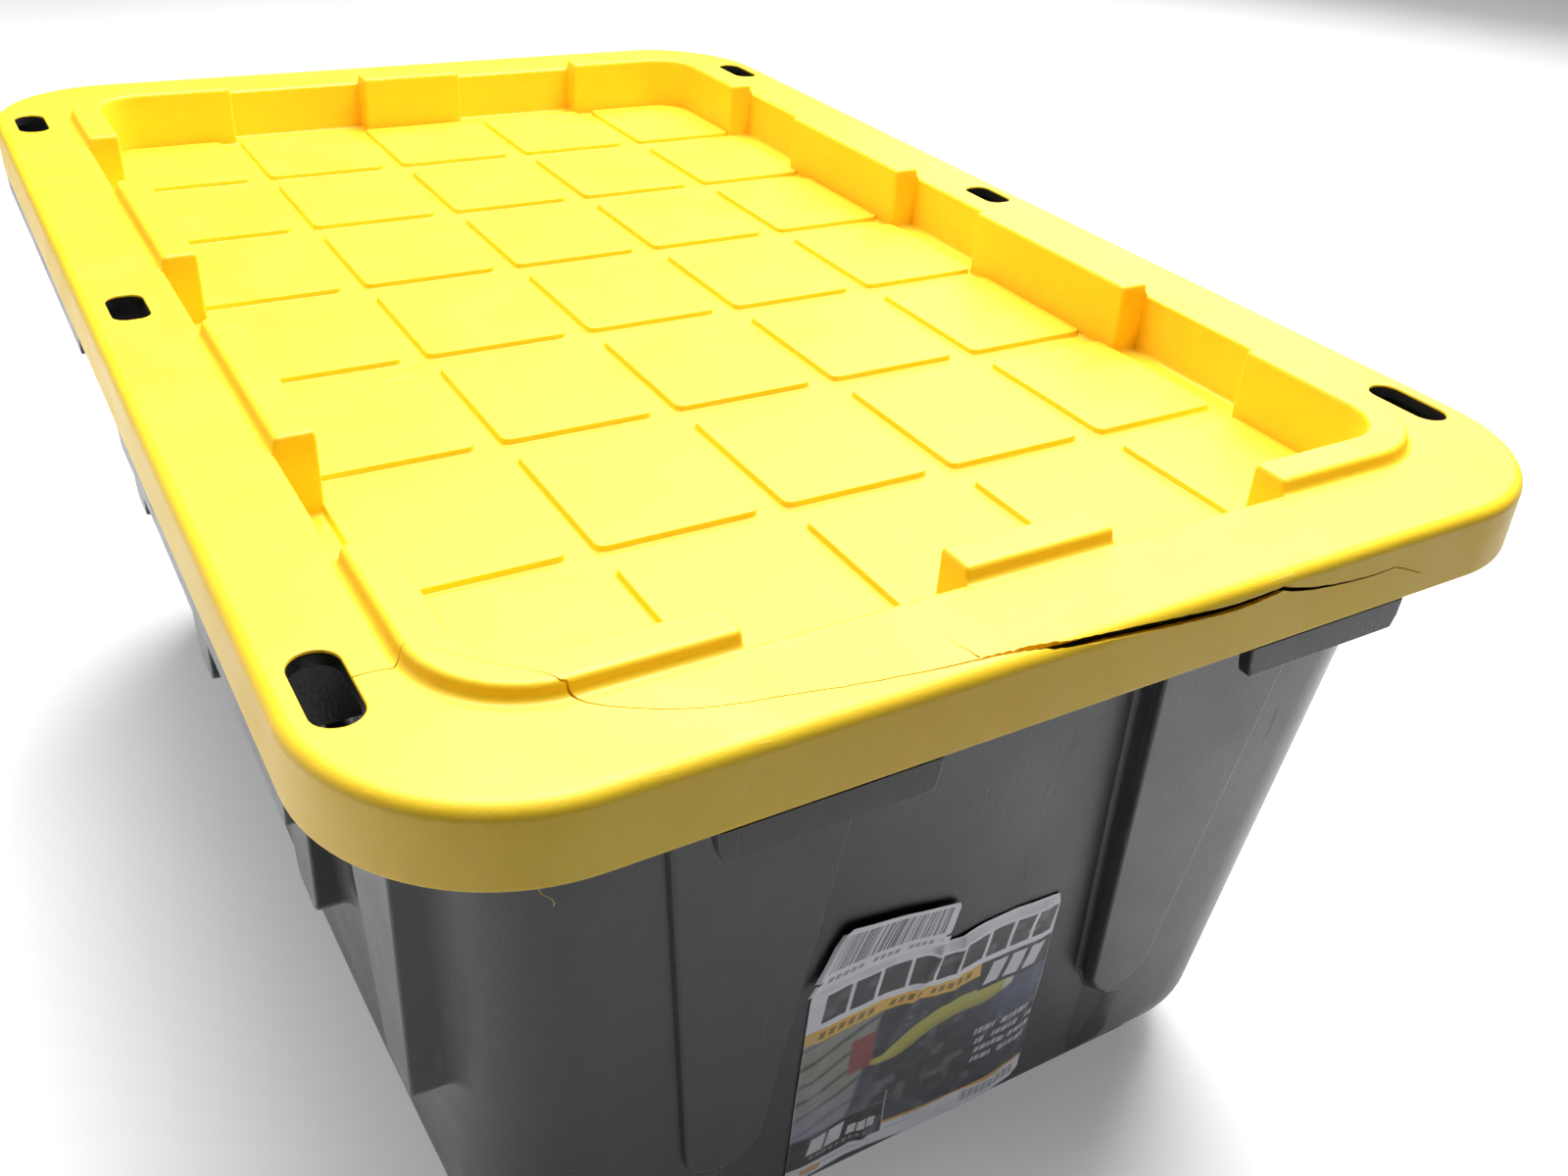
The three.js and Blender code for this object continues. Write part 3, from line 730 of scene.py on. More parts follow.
def belly_out(x, y, z):
    """The long walls bow outward at mid height, most at mid length."""
    f = max(0.0, 1 - (abs(y) / 300.0) ** 2)
    g = min(1.0, max(0.0, (abs(x) - 120) / 70.0))
    return (x + math.copysign(bow_at(FZ - z) * f * g, x), y, z)


def build_tub():
    def wx(z):
        return wall_x(FZ - z)

    def wy(z):
        return wall_y(FZ - z)

    def at(d, inset, z=None):
        return (Z(d) if z is None else z, wall_x(d) - inset, wall_y(d) - inset, wall_r(d) - inset)

    belly = [(346, 15), (345.2, 13.2), (344, 11.4), (342.5, 9.6), (340.5, 7.9), (338, 6.2), (335, 4.5), (331.5, 3.0), (327.5, 1.6), (323.5, 0.6), (319, 0.0)]
    walls = list(np.arange(312, 6, -7.0))
    n, ex, ey = 18, 26, 44
    outer = loft("tub_outer", [
        (0, FOOT_X - 4, FOOT_Y - 4, FOOT_R - 4), (0.6, FOOT_X - 2.8, FOOT_Y - 2.8, FOOT_R - 2.8),
        (1.6, FOOT_X - 1.7, FOOT_Y - 1.7, FOOT_R - 1.7), (3.2, FOOT_X - 0.8, FOOT_Y - 0.8, FOOT_R - 0.8),
        (Z(348.5), FOOT_X, FOOT_Y, FOOT_R), (Z(346.8), FOOT_X + 0.7, FOOT_Y + 0.7, FOOT_R + 0.7)]
        + [at(d, i) for d, i in belly] + [at(d, 0) for d in walls] + [at(RIM_TOP, 0)], n, ex, ey, belly_out)
    inner = loft("tub_inner", [
        (WALL, FOOT_X - 7, FOOT_Y - 7, FOOT_R - 7), (WALL + 1, FOOT_X - 5.3, FOOT_Y - 5.3, FOOT_R - 5.3),
        (WALL + 3, FOOT_X - 4, FOOT_Y - 4, FOOT_R - 4), (Z(348.5) + WALL, FOOT_X - WALL, FOOT_Y - WALL, FOOT_R - WALL)]
        + [at(d, i + WALL, Z(d) + WALL * (1 - k / 10.0)) for k, (d, i) in enumerate(belly)]
        + [at(d, WALL) for d in walls] + [at(-6, WALL)], n, ex, ey, belly_out)
    ops_o, ops_i = [], []
    ops_i.append(("DIFFERENCE", loft("raised", [(0, 167, 292, 22), (WALL + 1.8, 166.6, 291.6, 22), (WALL + 2.7, 165.7, 290.7, 21), (WALL + 3, 164.5, 289.5, 20)], 6)))
    for s in (-1, 1):
        panel = [(-67, Z(60)), (-91, Z(265)), (-99, Z(281)), (-104, Z(349)), (104, Z(349)), (99, Z(281)), (91, Z(265)), (67, Z(60))]
        panel_out = [(-68, Z(50)), (-93, Z(265)), (-112, Z(286)), (-141, Z(349)), (141, Z(349)), (112, Z(286)), (93, Z(265)), (68, Z(50))]
        b = wall_block("panel", panel, panel_out, lambda z: wy(z) - PANEL_IN, lambda z: wy(z) + 3, on_end(s))
        ops_o.append(("DIFFERENCE", bevel(b, 2.2, 4)))
        liner = [(-69.5, Z(57)), (-93.5, Z(265)), (-101.5, Z(281)), (-106.5, Z(343)), (106.5, Z(343)), (101.5, Z(281)), (93.5, Z(265)), (69.5, Z(57))]
        liner_out = [(-70.5, Z(47)), (-95.5, Z(265)), (-114.5, Z(286)), (-142.5, Z(343)), (142.5, Z(343)), (114.5, Z(286)), (95.5, Z(265)), (70.5, Z(47))]
        b = wall_block("liner", liner, liner_out, lambda z: wy(z) - PANEL_IN - WALL, lambda z: wy(z) - WALL + 0.5, on_end(s))
        ops_i.append(("DIFFERENCE", bevel(b, 2.0, 3)))
        pads, pits = [], []
        for m in (-1, 1):
            face = [(69.5, 52), (147.5, 52), (126.8, 261), (125.2, 268), (121.5, 273.2), (116, 276.8), (110, 278), (101.5, 278.5), (97.5, 274), (92, 266)]
            root = [(68, 48), (150, 48), (128.8, 262.5), (127.0, 270), (123.0, 276), (117, 279.4), (110.5, 280.6), (99.9, 281), (95.8, 275.8), (90.5, 267)]
            b = wall_block("pad", [(m * u, Z(d)) for u, d in root], [(m * u, Z(d)) for u, d in face],
                           lambda z: wy(z) - WALL - 0.5, lambda z: wy(z) + PAD_OUT, on_end(s))
            pads.append(bevel(b, 1.3, 3, 35))
            pit = [(74, 56), (143.5, 56), (123.5, 262), (120, 269), (114, 273.5), (103.5, 274), (95.5, 264)]
            b = wall_block("pit", [(m * u, Z(d)) for u, d in pit], [(m * u, Z(d)) for u, d in pit],
                           lambda z: wy(z) - WALL - 0.7, lambda z: wy(z) + PAD_OUT - WALL, on_end(s))
            pits.append(bevel(b, 1.0, 2, 35))
        for c, low, high in ((-293, 227.5, 231), (-184, 232, 233.5), (0, 234, 235), (184, 232, 233.5), (293, 227.5, 231)):
            pad_x = (lambda z, low=low, high=high: low + (high - low) * (z - Z(198)) / 132)
            back = lambda z: wx(Z(260) if z < Z(260) else z) - WALL - 2
            face = [(-30.5, 54), (-14, 192.5), (-12.6, 195.8), (-9.8, 198), (9.8, 198), (12.6, 195.8), (14, 192.5), (30.5, 54)]
            root = [(-32, 46), (-15.6, 194), (-14.2, 198.4), (-11.2, 201), (11.2, 201), (14.2, 198.4), (15.6, 194), (32, 46)]
            face = split([(c + u, Z(d)) for u, d in face], 12)
            root = [(c + u, Z(d)) for u, d in root]
            root = split(root, 12) if len(split(root, 12)) == len(face) else None
            mid = lambda t: [(a[0] + (b[0] - a[0]) * t, a[1] + (b[1] - a[1]) * t) for a, b in zip(face, grown(face, 1.5))]
            skin = lambda y, z: skin_x(y, z)
            rings = [(mid(5.0), lambda y, z: skin(y, z) - 4.0), (mid(5.0), lambda y, z: skin(y, z) - 0.25)]
            for i in range(1, 6):
                t = math.pi / 2 * i / 5
                rings.append((mid(1.0 + 4.0 * (1 - math.sin(t))), lambda y, z, t=t: skin(y, z) + 6.0 * (1 - math.cos(t))))
            top = pad_x
            for i in range(5):
                t = math.pi / 2 * i / 4
                rings.append((mid(0.9 - 0.9 * (1 - math.cos(t))), lambda y, z, t=t: max(top(z) - 1.5 * (1 - math.sin(t)), skin(y, z) + 6.1)))
            pads.append(ring_block("spad", rings, on_side(s)))
            pit = [(-27, 58), (-11, 191), (-8.5, 194), (8.5, 194), (11, 191), (27, 58)]
            b = wall_block("spit", [(c + u, Z(d)) for u, d in pit], [(c + u, Z(d)) for u, d in pit], lambda z: back(z) - 0.4,
                           (lambda z, f=pad_x: f(z) - WALL), on_side(s))
            pits.append(bevel(b, 0.9, 2, 35))
        ops_o.append(("UNION", merge(pads, "pads")))
        ops_i.append(("UNION", merge(pits, "pits")))
    boolean(outer, ops_o)
    boolean(inner, ops_i)

    rim = loft("rim", [(Z(APRON_D), APRON_X - 0.5, APRON_Y - 0.5, APRON_R - 0.5), (Z(APRON_D - 0.5), APRON_X, APRON_Y, APRON_R),
                       (Z(RIM_TOP + 3.7), APRON_X, APRON_Y, APRON_R),
                       (Z(RIM_TOP + 2.3), APRON_X - 0.4, APRON_Y - 0.4, APRON_R - 0.4),
                       (Z(RIM_TOP + 1.0), APRON_X - 1.5, APRON_Y - 1.5, APRON_R - 1.5),
                       (Z(RIM_TOP + 0.2), APRON_X - 2.9, APRON_Y - 2.9, APRON_R - 2.9),
                       (Z(RIM_TOP), APRON_X - 4.0, APRON_Y - 4.0, APRON_R - 4.0)], n)
    under = loft("rim_under", [(Z(APRON_D + 5), APRON_X - WALL, APRON_Y - WALL, APRON_R - WALL),
                               (Z(RIM_TOP + WALL), APRON_X - WALL, APRON_Y - WALL, APRON_R - WALL)], n)
    tabs = []
    for s in (-1, 1):
        for m in (-1, 1):
            end = [(68, 26), (150, 26), (149.3, 38.0), (147.3, 43.5), (70.7, 43.5), (69.2, 38.0)]
            end = [(m * u, Z(d)) for u, d in end]
            b = wall_block("tab", end, end, lambda z: APRON_Y - WALL, lambda z: TAB_Y, on_end(s))
            tabs.append(bevel(b, 0.8, 3, 40))
            side = [(50, 26), (322, 26), (321, 39), (319, 41.5), (53, 41.5), (51, 39)]
            side = [(m * u, Z(d)) for u, d in side]
            b = wall_block("stab", side, side, lambda z: APRON_X - WALL, lambda z: TAB_X, on_side(s))
            tabs.append(bevel(b, 0.8, 3, 40))
    tab = merge(tabs, "tabs")
    ring = loft("tab_clear", [(Z(TAB_TOP), 300, 430, 60), (Z(TAB_TOP) + 20, 300, 430, 60)], 4)
    boolean(ring, [("DIFFERENCE", loft("tab_keep", [(Z(TAB_TOP) - 1, APRON_X, APRON_Y, APRON_R), (Z(TAB_TOP) + 21, APRON_X, APRON_Y, APRON_R)], n))])
    boolean(tab, [("DIFFERENCE", ring)])
    boolean(rim, [("DIFFERENCE", under), ("UNION", tab)])
    ribs, rt = [], 1.3
    for s in (-1, 1):
        for y in (-334, -282, -228, -165, -96, -24, 24, 96, 165, 228, 282, 334):
            deep = 27 if abs(y) in (165, 96, 228) else 36
            x0, x1 = s * (wall_x(20) - 4), s * (APRON_X - WALL + (-1 if abs(y) > 300 else 0.5))
            ribs.append(box("rib", min(x0, x1), y - rt, Z(deep), max(x0, x1), y + rt, Z(RIM_TOP + 2)))
        for x in (-150, -68, 68, 150):
            y0, y1 = s * (wall_y(20) - 4), s * (APRON_Y - WALL + 0.5)
            ribs.append(box("rib", x - rt, min(y0, y1), Z(27), x + rt, max(y0, y1), Z(RIM_TOP + 2)))
    collars = [loft("collar", [(Z(RIM_TOP + 1.5), w / 2 + 1.15, l / 2 + 1.15, r + 1.15), (Z(1.9), w / 2 + 1.15, l / 2 + 1.15, r + 1.15),
                               (Z(1.55), w / 2 + 0.9, l / 2 + 0.9, r + 0.9), (Z(1.45), w / 2 + 0.5, l / 2 + 0.5, r + 0.5)], 9, at=(x, y))
               for x, y, w, l, r in SLOTS]
    ops = [("UNION", rim), ("UNION", merge(collars, "collars")), ("UNION", merge(ribs, "ribs")), ("DIFFERENCE", inner)]
    ops.append(("DIFFERENCE", loft("base", [(-5, 164.5, 289.5, 20), (2.2, 164.3, 289.3, 20), (3, 163.2, 288.2, 19)], 6)))
    cut = [loft("hole", [(Z(APRON_D + 12), w / 2, l / 2, r), (Z(2.0), w / 2, l / 2, r),
                         (Z(1.6), w / 2 + 0.2, l / 2 + 0.2, r + 0.2), (Z(-5), w / 2 + 0.3, l / 2 + 0.3, r + 0.3)], 9, at=(x, y))
           for x, y, w, l, r in SLOTS]
    ops.append(("DIFFERENCE", merge(cut, "holes")))
    return boolean(outer, ops)


# ------------------------------------------------------------------ labels
def value_noise(x, y, seed, cell):
    """Smooth lattice noise, 0 to 1."""
    g = np.random.RandomState(seed).rand(64, 64)
    u, v = np.asarray(x) / cell + 17.3, np.asarray(y) / cell + 9.1
    i, j = np.floor(u).astype(int), np.floor(v).astype(int)
    fu, fv = u - i, v - j
    fu, fv = fu * fu * (3 - 2 * fu), fv * fv * (3 - 2 * fv)
    a, b = g[i % 64, j % 64], g[(i + 1) % 64, j % 64]
    c, d = g[i % 64, (j + 1) % 64], g[(i + 1) % 64, (j + 1) % 64]
    return (a * (1 - fu) + b * fu) * (1 - fv) + (c * (1 - fu) + d * fu) * fv


def coons(top, bottom, left, right, nu, nv):
    """Grid over four boundary curves, each a function of 0..1 to (x, depth)."""
    u, v = np.linspace(0, 1, nu), np.linspace(0, 1, nv)
    T, B = np.array([top(t) for t in u]), np.array([bottom(t) for t in u])
    L, R = np.array([left(t) for t in v]), np.array([right(t) for t in v])
    U, V = u[None, :, None], v[:, None, None]
    g = (1 - V) * T[None] + V * B[None] + (1 - U) * L[:, None] + U * R[:, None]
    g -= (1 - U) * (1 - V) * T[0] + U * (1 - V) * T[-1] + (1 - U) * V * B[0] + U * V * B[-1]
    return g, np.broadcast_to(u[None, :], (nv, nu)), np.broadcast_to(v[:, None], (nv, nu))


def curve(points):
    """Smooth curve through points, by chord length."""
    p = np.array(points, float)
    s = np.r_[0, np.cumsum(np.linalg.norm(np.diff(p, axis=0), axis=1))]
    s /= s[-1]
    fine = np.linspace(0, 1, 400)
    q = np.stack([np.interp(fine, s, p[:, k]) for k in (0, 1)], 1)
    k = np.hanning(13)
    k /= k.sum()
    sm = np.stack([np.convolve(np.pad(q[:, c], 6, mode="reflect", reflect_type="odd"), k, mode="valid") for c in (0, 1)], 1)
    return lambda t: (float(np.interp(t, fine, sm[:, 0])), float(np.interp(t, fine, sm[:, 1])))


def paper(name, grid, lift, ink, thickness=0.25):
    nv, nu = grid.shape[:2]
    d = grid[..., 1]
    y = -(wall_y(d) - PANEL_IN) - lift
    front = np.stack([grid[..., 0], y, FZ - d], -1).reshape(-1, 3)
    verts = np.concatenate([front, front + (0, thickness, 0)])
    idx = np.arange(nv * nu).reshape(nv, nu)
    a, b, c, e = idx[:-1, :-1].ravel(), idx[1:, :-1].ravel(), idx[1:, 1:].ravel(), idx[:-1, 1:].ravel()
    f1 = np.stack([a, b, c, e], 1)
    f2 = np.stack([e, c, b, a], 1) + nv * nu
    rim = np.concatenate([idx[0, :], idx[1:, -1], idx[-1, -2::-1], idx[-2:0:-1, 0]])
    r2 = np.roll(rim, -1)
    f3 = np.stack([rim, r2, r2 + nv * nu, rim + nv * nu], 1)
    faces = np.concatenate([f1, f2, f3]).tolist()
    o = obj(name, verts, [tuple(f) for f in faces])
    rgba = np.ones((2 * nv * nu, 4))
    rgba[:nv * nu, :3] = ink.reshape(-1, 3)
    rgba[nv * nu:, :3] = 0.75
    at = o.data.color_attributes.new("ink", "FLOAT_COLOR", "POINT")
    at.data.foreach_set("color", rgba.ravel())
    return o


def srgb(r, g, b):
    return np.array([(c / 255.0) ** 2.2 for c in (r, g, b)])


class Print:
    """Flat ink laid over a grid of label coordinates a (across) and b (down), both 0 to 1."""

    def __init__(self, a, b, paper_rgb):
        self.a, self.b = a, b
        self.rgb = np.ones(a.shape + (3,)) * paper_rgb

    def lay(self, mask, rgb, alpha=1.0):
        m = (np.clip(mask, 0, 1) * alpha)[..., None]
        self.rgb = self.rgb * (1 - m) + np.asarray(rgb) * m

    def quad(self, a0, a1, b0, b1, rgb, alpha=1.0, slant=0.0, soft=0.003):
        a = self.a - slant * (self.b - (b0 + b1) / 2)
        m = np.clip((a - a0) / soft + 0.5, 0, 1) * np.clip((a1 - a) / soft + 0.5, 0, 1)
        m *= np.clip((self.b - b0) / soft + 0.5, 0, 1) * np.clip((b1 - self.b) / soft + 0.5, 0, 1)
        self.lay(m, rgb, alpha)


def label_ink(a, b):
    white, dark = srgb(222, 222, 228), srgb(40, 40, 44)
    p = Print(a, b, white)
    # dark picture area with a bluish haze
    n1 = value_noise(a * 10, b * 10, 3, 2.4)
    n2 = value_noise(a * 10, b * 10, 4, 0.9)
    p.quad(0, 1, 0.215, 0.90, srgb(52, 54, 62))
    body = (a > 0) & (b > 0.2) & (b < 0.9)
    p.lay(body * np.clip((a - 0.66) / 0.2, 0, 1) * np.clip(1 - abs(b - 0.42) / 0.2, 0, 1) * (0.4 + 0.6 * n1), srgb(104, 110, 150), 0.75)
    p.lay(body * np.clip(n1 * 1.6 - 0.7, 0, 1), srgb(84, 86, 112), 0.5)
    # pale greenish strip of background at the left, with slanting shelf lines
    left = body * np.clip((0.30 - a - 0.18 * (b - 0.3)) / 0.02, 0, 1) * np.clip((b - 0.26) / 0.01, 0, 1) * np.clip((0.76 - b) / 0.01, 0, 1)
    p.lay(left, srgb(134, 138, 128))
    lines = np.clip(np.sin((b + 0.34 * a) * 70) * 3 - 1.6, 0, 1)
    p.lay(left * lines, srgb(64, 66, 60), 0.8)
    p.lay(left * np.clip(n2 * 2 - 1, 0, 1), srgb(160, 158, 172), 0.6)
    p.lay(left * np.clip((b - 0.55) / 0.2, 0, 1) * (n1 > 0.45), srgb(150, 146, 176), 0.6)
    # red patch
    rr = np.clip(1.5 - np.maximum(abs(a - 0.235) / 0.034, abs(b - 0.445) / 0.062), 0, 1)
    p.lay(np.clip(rr * 4, 0, 1), srgb(136, 66, 62))
    # black shape under a yellow diagonal stroke
    p.lay(np.clip(1 - np.maximum(abs(a - 0.53) / 0.26, abs(b - 0.62) / 0.20), 0, 1) * 3, srgb(44, 45, 48), 0.9)
    yl = 0.50 - 0.31 * (a - 0.27) - 0.03 * np.sin(a * 14)
    w = np.clip(0.012 + 0.05 * np.clip((a - 0.27) / 0.2, 0, 1), 0, 0.045)
    stroke = np.clip((w - abs(b - yl)) / 0.006, 0, 1) * np.clip((a - 0.27) / 0.01, 0, 1) * np.clip((0.86 - a) / 0.01, 0, 1)
    p.lay(stroke, srgb(176, 172, 84))
    p.lay(stroke * np.clip((b - yl) / w, 0, 1), srgb(132, 130, 54), 0.8)
    p.lay(stroke * np.clip((a - 0.81) / 0.02, 0, 1), srgb(196, 196, 176))
    # yellow band and black corner block with pale shapes
    p.quad(0, 0.70, 0.205, 0.268, srgb(222, 176, 72))
    for k in range(17):
        x = 0.05 + 0.036 * k + (0.012 if k > 5 else 0)
        if k in (6, 11):
            continue
        p.quad(x, x + 0.022, 0.222, 0.252, srgb(104, 82, 36), 0.85, -0.25)
    p.quad(0.70, 1.0, 0.205, 0.345, srgb(36, 37, 40))
    for k in range(3):
        x = 0.735 + 0.082 * k
        p.quad(x, x + 0.060, 0.225, 0.325, srgb(206, 206, 210), 1, -0.35)
    # header: a row of plain dark blocks, no lettering
    p.quad(0.0, 1.0, -0.02, 0.205, white)
    xs = 0.055
    widths = (0.088, 0.088, 0.108, 0.108, 0.090, 0.090, 0.084, 0.080, 0.082)
    for k, w0 in enumerate(widths):
        p.quad(xs, xs + w0, 0.060, 0.178, srgb(52, 52, 56), 1, -0.1)
        xs += w0 + 0.0145
    # four short rows of pale ticks
    for r in range(4):
        b0 = 0.555 + 0.052 * r
        x = 0.735 + 0.01 * (r % 2)
        for k in range(11):
            w0 = 0.011 + 0.008 * ((k * 7 + r * 3) % 3)
            if (k + r * 2) % 6 != 4:
                p.quad(x, x + w0, b0, b0 + 0.027, srgb(188, 190, 196), 0.85, -0.3)
            x += w0 + 0.006
    # capacity block bottom left: black with two heavy pale blocks and small ones
    p.quad(0.0, 0.375, 0.762, 0.925, srgb(38, 38, 41))
    p.quad(0.374, 0.379, 0.70, 0.925, srgb(170, 170, 174))
    p.quad(0.0, 0.379, 0.760, 0.765, srgb(120, 120, 124))
    for x, w0, b0, b1 in ((0.075, 0.062, 0.785, 0.872), (0.148, 0.062, 0.785, 0.872), (0.232, 0.034, 0.828, 0.872),
                          (0.272, 0.034, 0.828, 0.872), (0.312, 0.030, 0.828, 0.872)):
        p.quad(x, x + w0, b0, b1, srgb(210, 210, 214), 1, -0.15)
    for k in range(9):
        p.quad(0.085 + 0.026 * k, 0.102 + 0.026 * k, 0.885, 0.903, srgb(126, 126, 130), 0.9, -0.2)
    # thin yellow line over the white footer
    p.quad(0.379, 1.0, 0.868, 0.882, srgb(214, 164, 60))
    p.quad(0.379, 1.0, 0.882, 1.02, white)
    p.quad(0.0, 0.379, 0.925, 1.02, white)
    p.quad(0.055, 0.135, 0.945, 0.985, srgb(206, 158, 92))
    for k in range(12):
        p.quad(0.15 + 0.016 * k, 0.161 + 0.016 * k, 0.948, 0.956, srgb(120, 120, 126), 0.7)
        p.quad(0.40 + 0.016 * k, 0.410 + 0.016 * k, 0.912, 0.920, srgb(140, 140, 146), 0.6)
    for k in range(24):
        w0 = 0.003 + 0.002 * ((k * 5) % 3)
        p.quad(0.735 + 0.0098 * k, 0.735 + 0.0098 * k + w0, 0.898, 0.955, srgb(106, 106, 110), 0.9)
    # rubbed and faded
    fade = np.clip(value_noise(a * 10, b * 10, 8, 0.5) * 2.4 - 1.55, 0, 1)
    p.lay(fade, srgb(170, 170, 178), 0.30)
    return p.rgb


def build_label():
    # the film is wrinkled: its top edge sags where the sticker pulls it, its foot is wavy
    top = curve([(-67.2, 194.0), (-52, 190.6), (-30, 189.0), (-12, 191.8), (-2, 197.2), (6, 198.6), (18, 195.5), (36, 194.8), (60.6, 196.6)])
    right = curve([(60.6, 196.6), (62.8, 203.5), (63.5, 226), (65.8, 256), (66.2, 290), (68.6, 318), (69.0, 328.5), (65.5, 335.6)])
    bottom = curve([(-66.4, 338.2), (-50, 337.6), (-34, 334.5), (-24, 335.4), (-2, 339.2), (14, 340.6), (34, 341.4), (50, 341.0), (65.5, 335.6)])
    left = curve([(-67.2, 194.0), (-69.6, 200.5), (-69.2, 226), (-68.6, 262), (-67.6, 296), (-67.0, 320), (-66.4, 338.2)])
    nu, nv = ((380, 400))
    g, u, v = coons(top, bottom, left, right, nu, nv)
    x, d = g[..., 0], g[..., 1]
    # slanting creases that run down from the torn top edge
    c1 = np.exp(-((x + 4 + 0.35 * (d - 200)) / 3.2) ** 2) * np.clip((300 - d) / 100, 0, 1)
    c2 = np.exp(-((x - 8 - 0.05 * (d - 200)) / 2.4) ** 2) * np.clip((262 - d) / 60, 0, 1)
    c3 = np.exp(-((x + 26 - 0.12 * (d - 330)) / 3.0) ** 2) * np.clip((d - 278) / 60, 0, 1)
    c4 = np.exp(-((d - 316 - 0.2 * x) / 3.2) ** 2) * np.clip((x + 10) / 40, 0, 1)
    lift = 0.75 + 1.2 * value_noise(x, d, 21, 17) + 1.6 * c1 + 1.2 * c2 + 1.3 * c3 + 0.8 * c4
    lift += 0.35 * value_noise(x, d, 22, 6)
    border = np.minimum(np.minimum(u, 1 - u) * 135, np.minimum(v, 1 - v) * 142)
    lift = 0.45 + (lift - 0.45) * np.clip(border / 7.0, 0.25, 1)
    # print follows the sheet, a little warped by the wrinkles
    a = u + 0.006 * (value_noise(x, d, 31, 24) - 0.5)
    b = v + 0.008 * (value_noise(x, d, 32, 24) - 0.5)
    o = paper("product_label_sheet", g, lift, label_ink(a, b))
    return finish_mesh(o, 60, "tub", PAPER, False)


def build_sticker():
    top = curve([(-60.2, 162.5), (-56.5, 160.2), (-30, 164.6), (-3.0, 171.2), (-0.2, 173.0)])
    right = curve([(-0.2, 173.0), (0.8, 175.6), (-0.6, 186), (-3.0, 196.2)])
    bottom = curve([(-73.2, 194.2), (-62, 192.2), (-44, 190.4), (-26, 191.4), (-12, 194.6), (-3.0, 196.2)])
    left = curve([(-60.2, 162.5), (-63.4, 168.4), (-67.2, 179), (-71.0, 189.5), (-73.2, 194.2)])
    nu, nv = ((420, 180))
    g, u, v = coons(top, bottom, left, right, nu, nv)
    x, d = g[..., 0], g[..., 1]
    p = Print(u, v, srgb(226, 226, 232))
    rs = np.random.RandomState(11)
    t = 0.055
    while t < 0.925:
        w = rs.choice((0.0045, 0.0045, 0.009, 0.0135))
        p.quad(t, t + w, 0.10, 0.70, srgb(48, 48, 52), 0.95, 0.0, 0.002)
        t += w + rs.choice((0.0045, 0.0045, 0.009, 0.0125))
    for k in range(15):
        if k in (5, 10):
            continue
        p.quad(0.10 + 0.052 * k, 0.136 + 0.052 * k, 0.80, 0.89, srgb(120, 120, 126), 0.75, 0.0, 0.004)
    p.lay(np.clip(1.2 - np.hypot((u - 0.93) * 2.1, v - 0.86) / 0.045, 0, 1), srgb(150, 150, 190), 0.6)
    lift = 2.4 + 0.8 * value_noise(x, d, 41, 15) + 0.9 * np.exp(-((u - 0.03) / 0.03) ** 2)
    border = np.minimum(u, 1 - u) * 65
    lift -= 0.9 * np.clip(1 - border / 4.0, 0, 1) * (v < 0.8)
    o = paper("barcode_sticker_sheet", g, lift, p.rgb, 0.2)
    return finish_mesh(o, 60, "tub", STICKER, False)


# ---------------------------------------------------- moulding flash on lid
def flash_ribbon(name, xs, seed, y=-391.0 + 2.2, z0=-29.6, high=1.0):
    """Ragged thin skin hanging from the bottom edge of the skirt."""
    rs = np.random.RandomState(seed)
    n = len(xs)
    h = np.clip(rs.gamma(1.6, high * 0.42, n), 0.12, high * 2.2)
    h[0] = h[-1] = 0.1
    verts, faces = [], []
    for i, x in enumerate(xs):
        yy = y + rs.uniform(-0.2, 0.2)
        for dy, z in ((0, z0 + 0.7), (0.22, z0 + 0.7), (0.18, z0 - h[i]), (0.0, z0 - h[i])):
            verts.append((x, yy + dy, FZ + z))
        if i:
            k = 4 * (i - 1)
            for a, b in ((0, 1), (1, 2), (2, 3), (3, 0)):
                faces.append((k + a, k + b, k + 4 + b, k + 4 + a))
    faces.append((3, 2, 1, 0))
    k = 4 * (n - 1)
    faces.append((k, k + 1, k + 2, k + 3))
    o = obj(name, verts, faces)
    return finish_mesh(o, 50, "lid", YELLOW, False)


def flash_hair():
    pts = [(-205.6, -389.0, -28.5), (-205.2, -389.8, -29.8), (-204.0, -390.3, -30.9), (-202.9, -390.4, -32.0),
           (-201.9, -390.2, -33.6), (-201.4, -390.0, -35.2), (-201.8, -389.8, -36.4)]
    rings = []
    for i, p in enumerate(pts):
        r = 0.11 * (1 - 0.4 * i / (len(pts) - 1))
        rings.append([(p[0] + r * math.cos(a), p[1] + r * math.sin(a), FZ + p[2])
                      for a in (math.tau * k / 6 for k in range(6))])
    o = tube("flash_hair", rings)
    return finish_mesh(o, 60, "lid", YELLOW, False)


lid = build_lid()
lid.name = "lid_moulding"
finish_mesh(lid, 30, "lid", YELLOW)
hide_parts("lid")
tub = build_tub()
tub.name = "tub_moulding"
finish_mesh(tub, 30, "tub", BLACK)
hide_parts("tub")
label = build_label()
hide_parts("product_label")
sticker = build_sticker()
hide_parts("barcode_sticker")
flash_ribbon("flash_front_left", np.arange(-150, -60, 1.1), 5, high=0.5)
flash_ribbon("flash_front_right", np.arange(36, 172, 1.1), 6, high=0.8)
flash_hair()

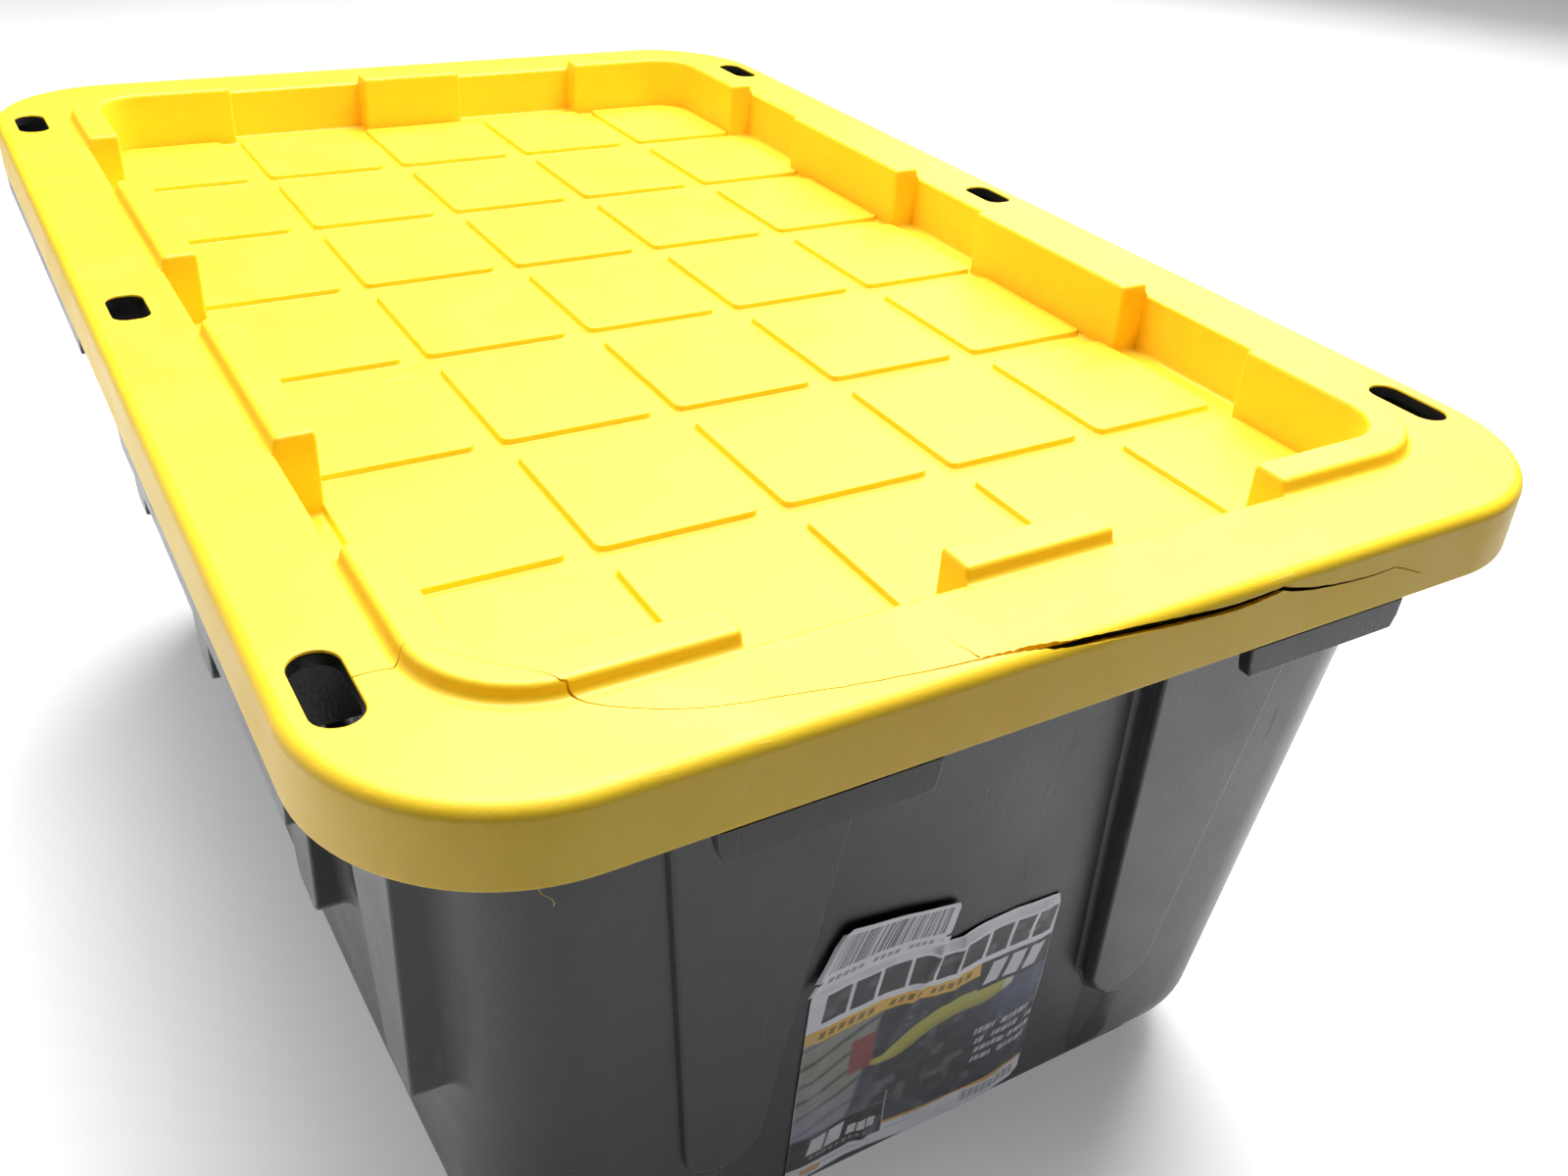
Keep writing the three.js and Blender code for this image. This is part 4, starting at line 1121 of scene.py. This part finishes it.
# ------------------------------------------------------------ studio stage
me = bpy.data.meshes.new("floor")
S = 9.0
me.from_pydata([(-S, -S, 0), (S, -S, 0), (S, S, 0), (-S, S, 0)], [], [(0, 1, 2, 3)])
floor = bpy.data.objects.new("floor", me)
scene.collection.objects.link(floor)
fm, fnt, fb = new_material("pale_floor")
fn = Net(fnt)
fcol = fn.mix(fn.grey(fn.noise(3, 3), 0.3, 0.0, 0.7, 1.0), (0.80, 0.80, 0.81, 1), (0.84, 0.84, 0.85, 1))
fb.inputs["Roughness"].default_value = 0.6
# painted light: the floor is given its own emission glow, its strength set below
fb.inputs["Emission Color"].default_value = (0.97, 0.98, 1.0, 1)
sep = fnt.nodes.new("ShaderNodeSeparateXYZ")
fn.link(fn.tc.outputs["Object"], sep.inputs[0])
# painted shadow: the floor's colour fades to dark grey towards the front (y below -0.5 m), shade painted onto the
# floor in front of the bin
fcol = fn.mix(fn.grey(sep.outputs[1], -1.1, 0.0, -0.5, 1.0), (0.26, 0.26, 0.265, 1), fcol)
fn.link(fcol, fb.inputs["Base Color"])
# painted light: the floor's glow is 0.40 at the left falling to 0.24 at the right, and fades to little towards the
# front
side = fn.grey(sep.outputs[0], -0.75, 0.40, 0.05, 0.24)
front = fn.grey(sep.outputs[1], -0.95, 0.05, -0.40, 1.0)
fn.link(fn.math("MULTIPLY", side, front), fb.inputs["Emission Strength"])
me.materials.append(fm)

world = bpy.data.worlds.new("studio")
scene.world = world
world.use_nodes = True
world.node_tree.nodes["Background"].inputs[0].default_value = (0.97, 0.985, 1.0, 1)
world.node_tree.nodes["Background"].inputs[1].default_value = 0.012


def area(name, loc, target, size, power, color=(1, 1, 1)):
    l = bpy.data.lights.new(name, "AREA")
    l.shape, l.size, l.size_y = "RECTANGLE", size[0], size[1]
    l.energy, l.color = power, color
    o = bpy.data.objects.new(name, l)
    o.location = loc
    o.rotation_euler = (Vector(target) - Vector(loc)).to_track_quat("-Z", "Y").to_euler()
    scene.collection.objects.link(o)
    return o


area("overhead", (0.50, 0.42, 2.1), (0.20, 0.12, 0.0), (1.8, 2.0), 134)
area("back_right", (2.4, 1.6, 1.5), (0, 0, 0.3), (2.0, 1.8), 26)
area("left_fill", (-2.2, 0.9, 1.0), (-0.5, 0.2, 0.0), (1.8, 1.4), 8)
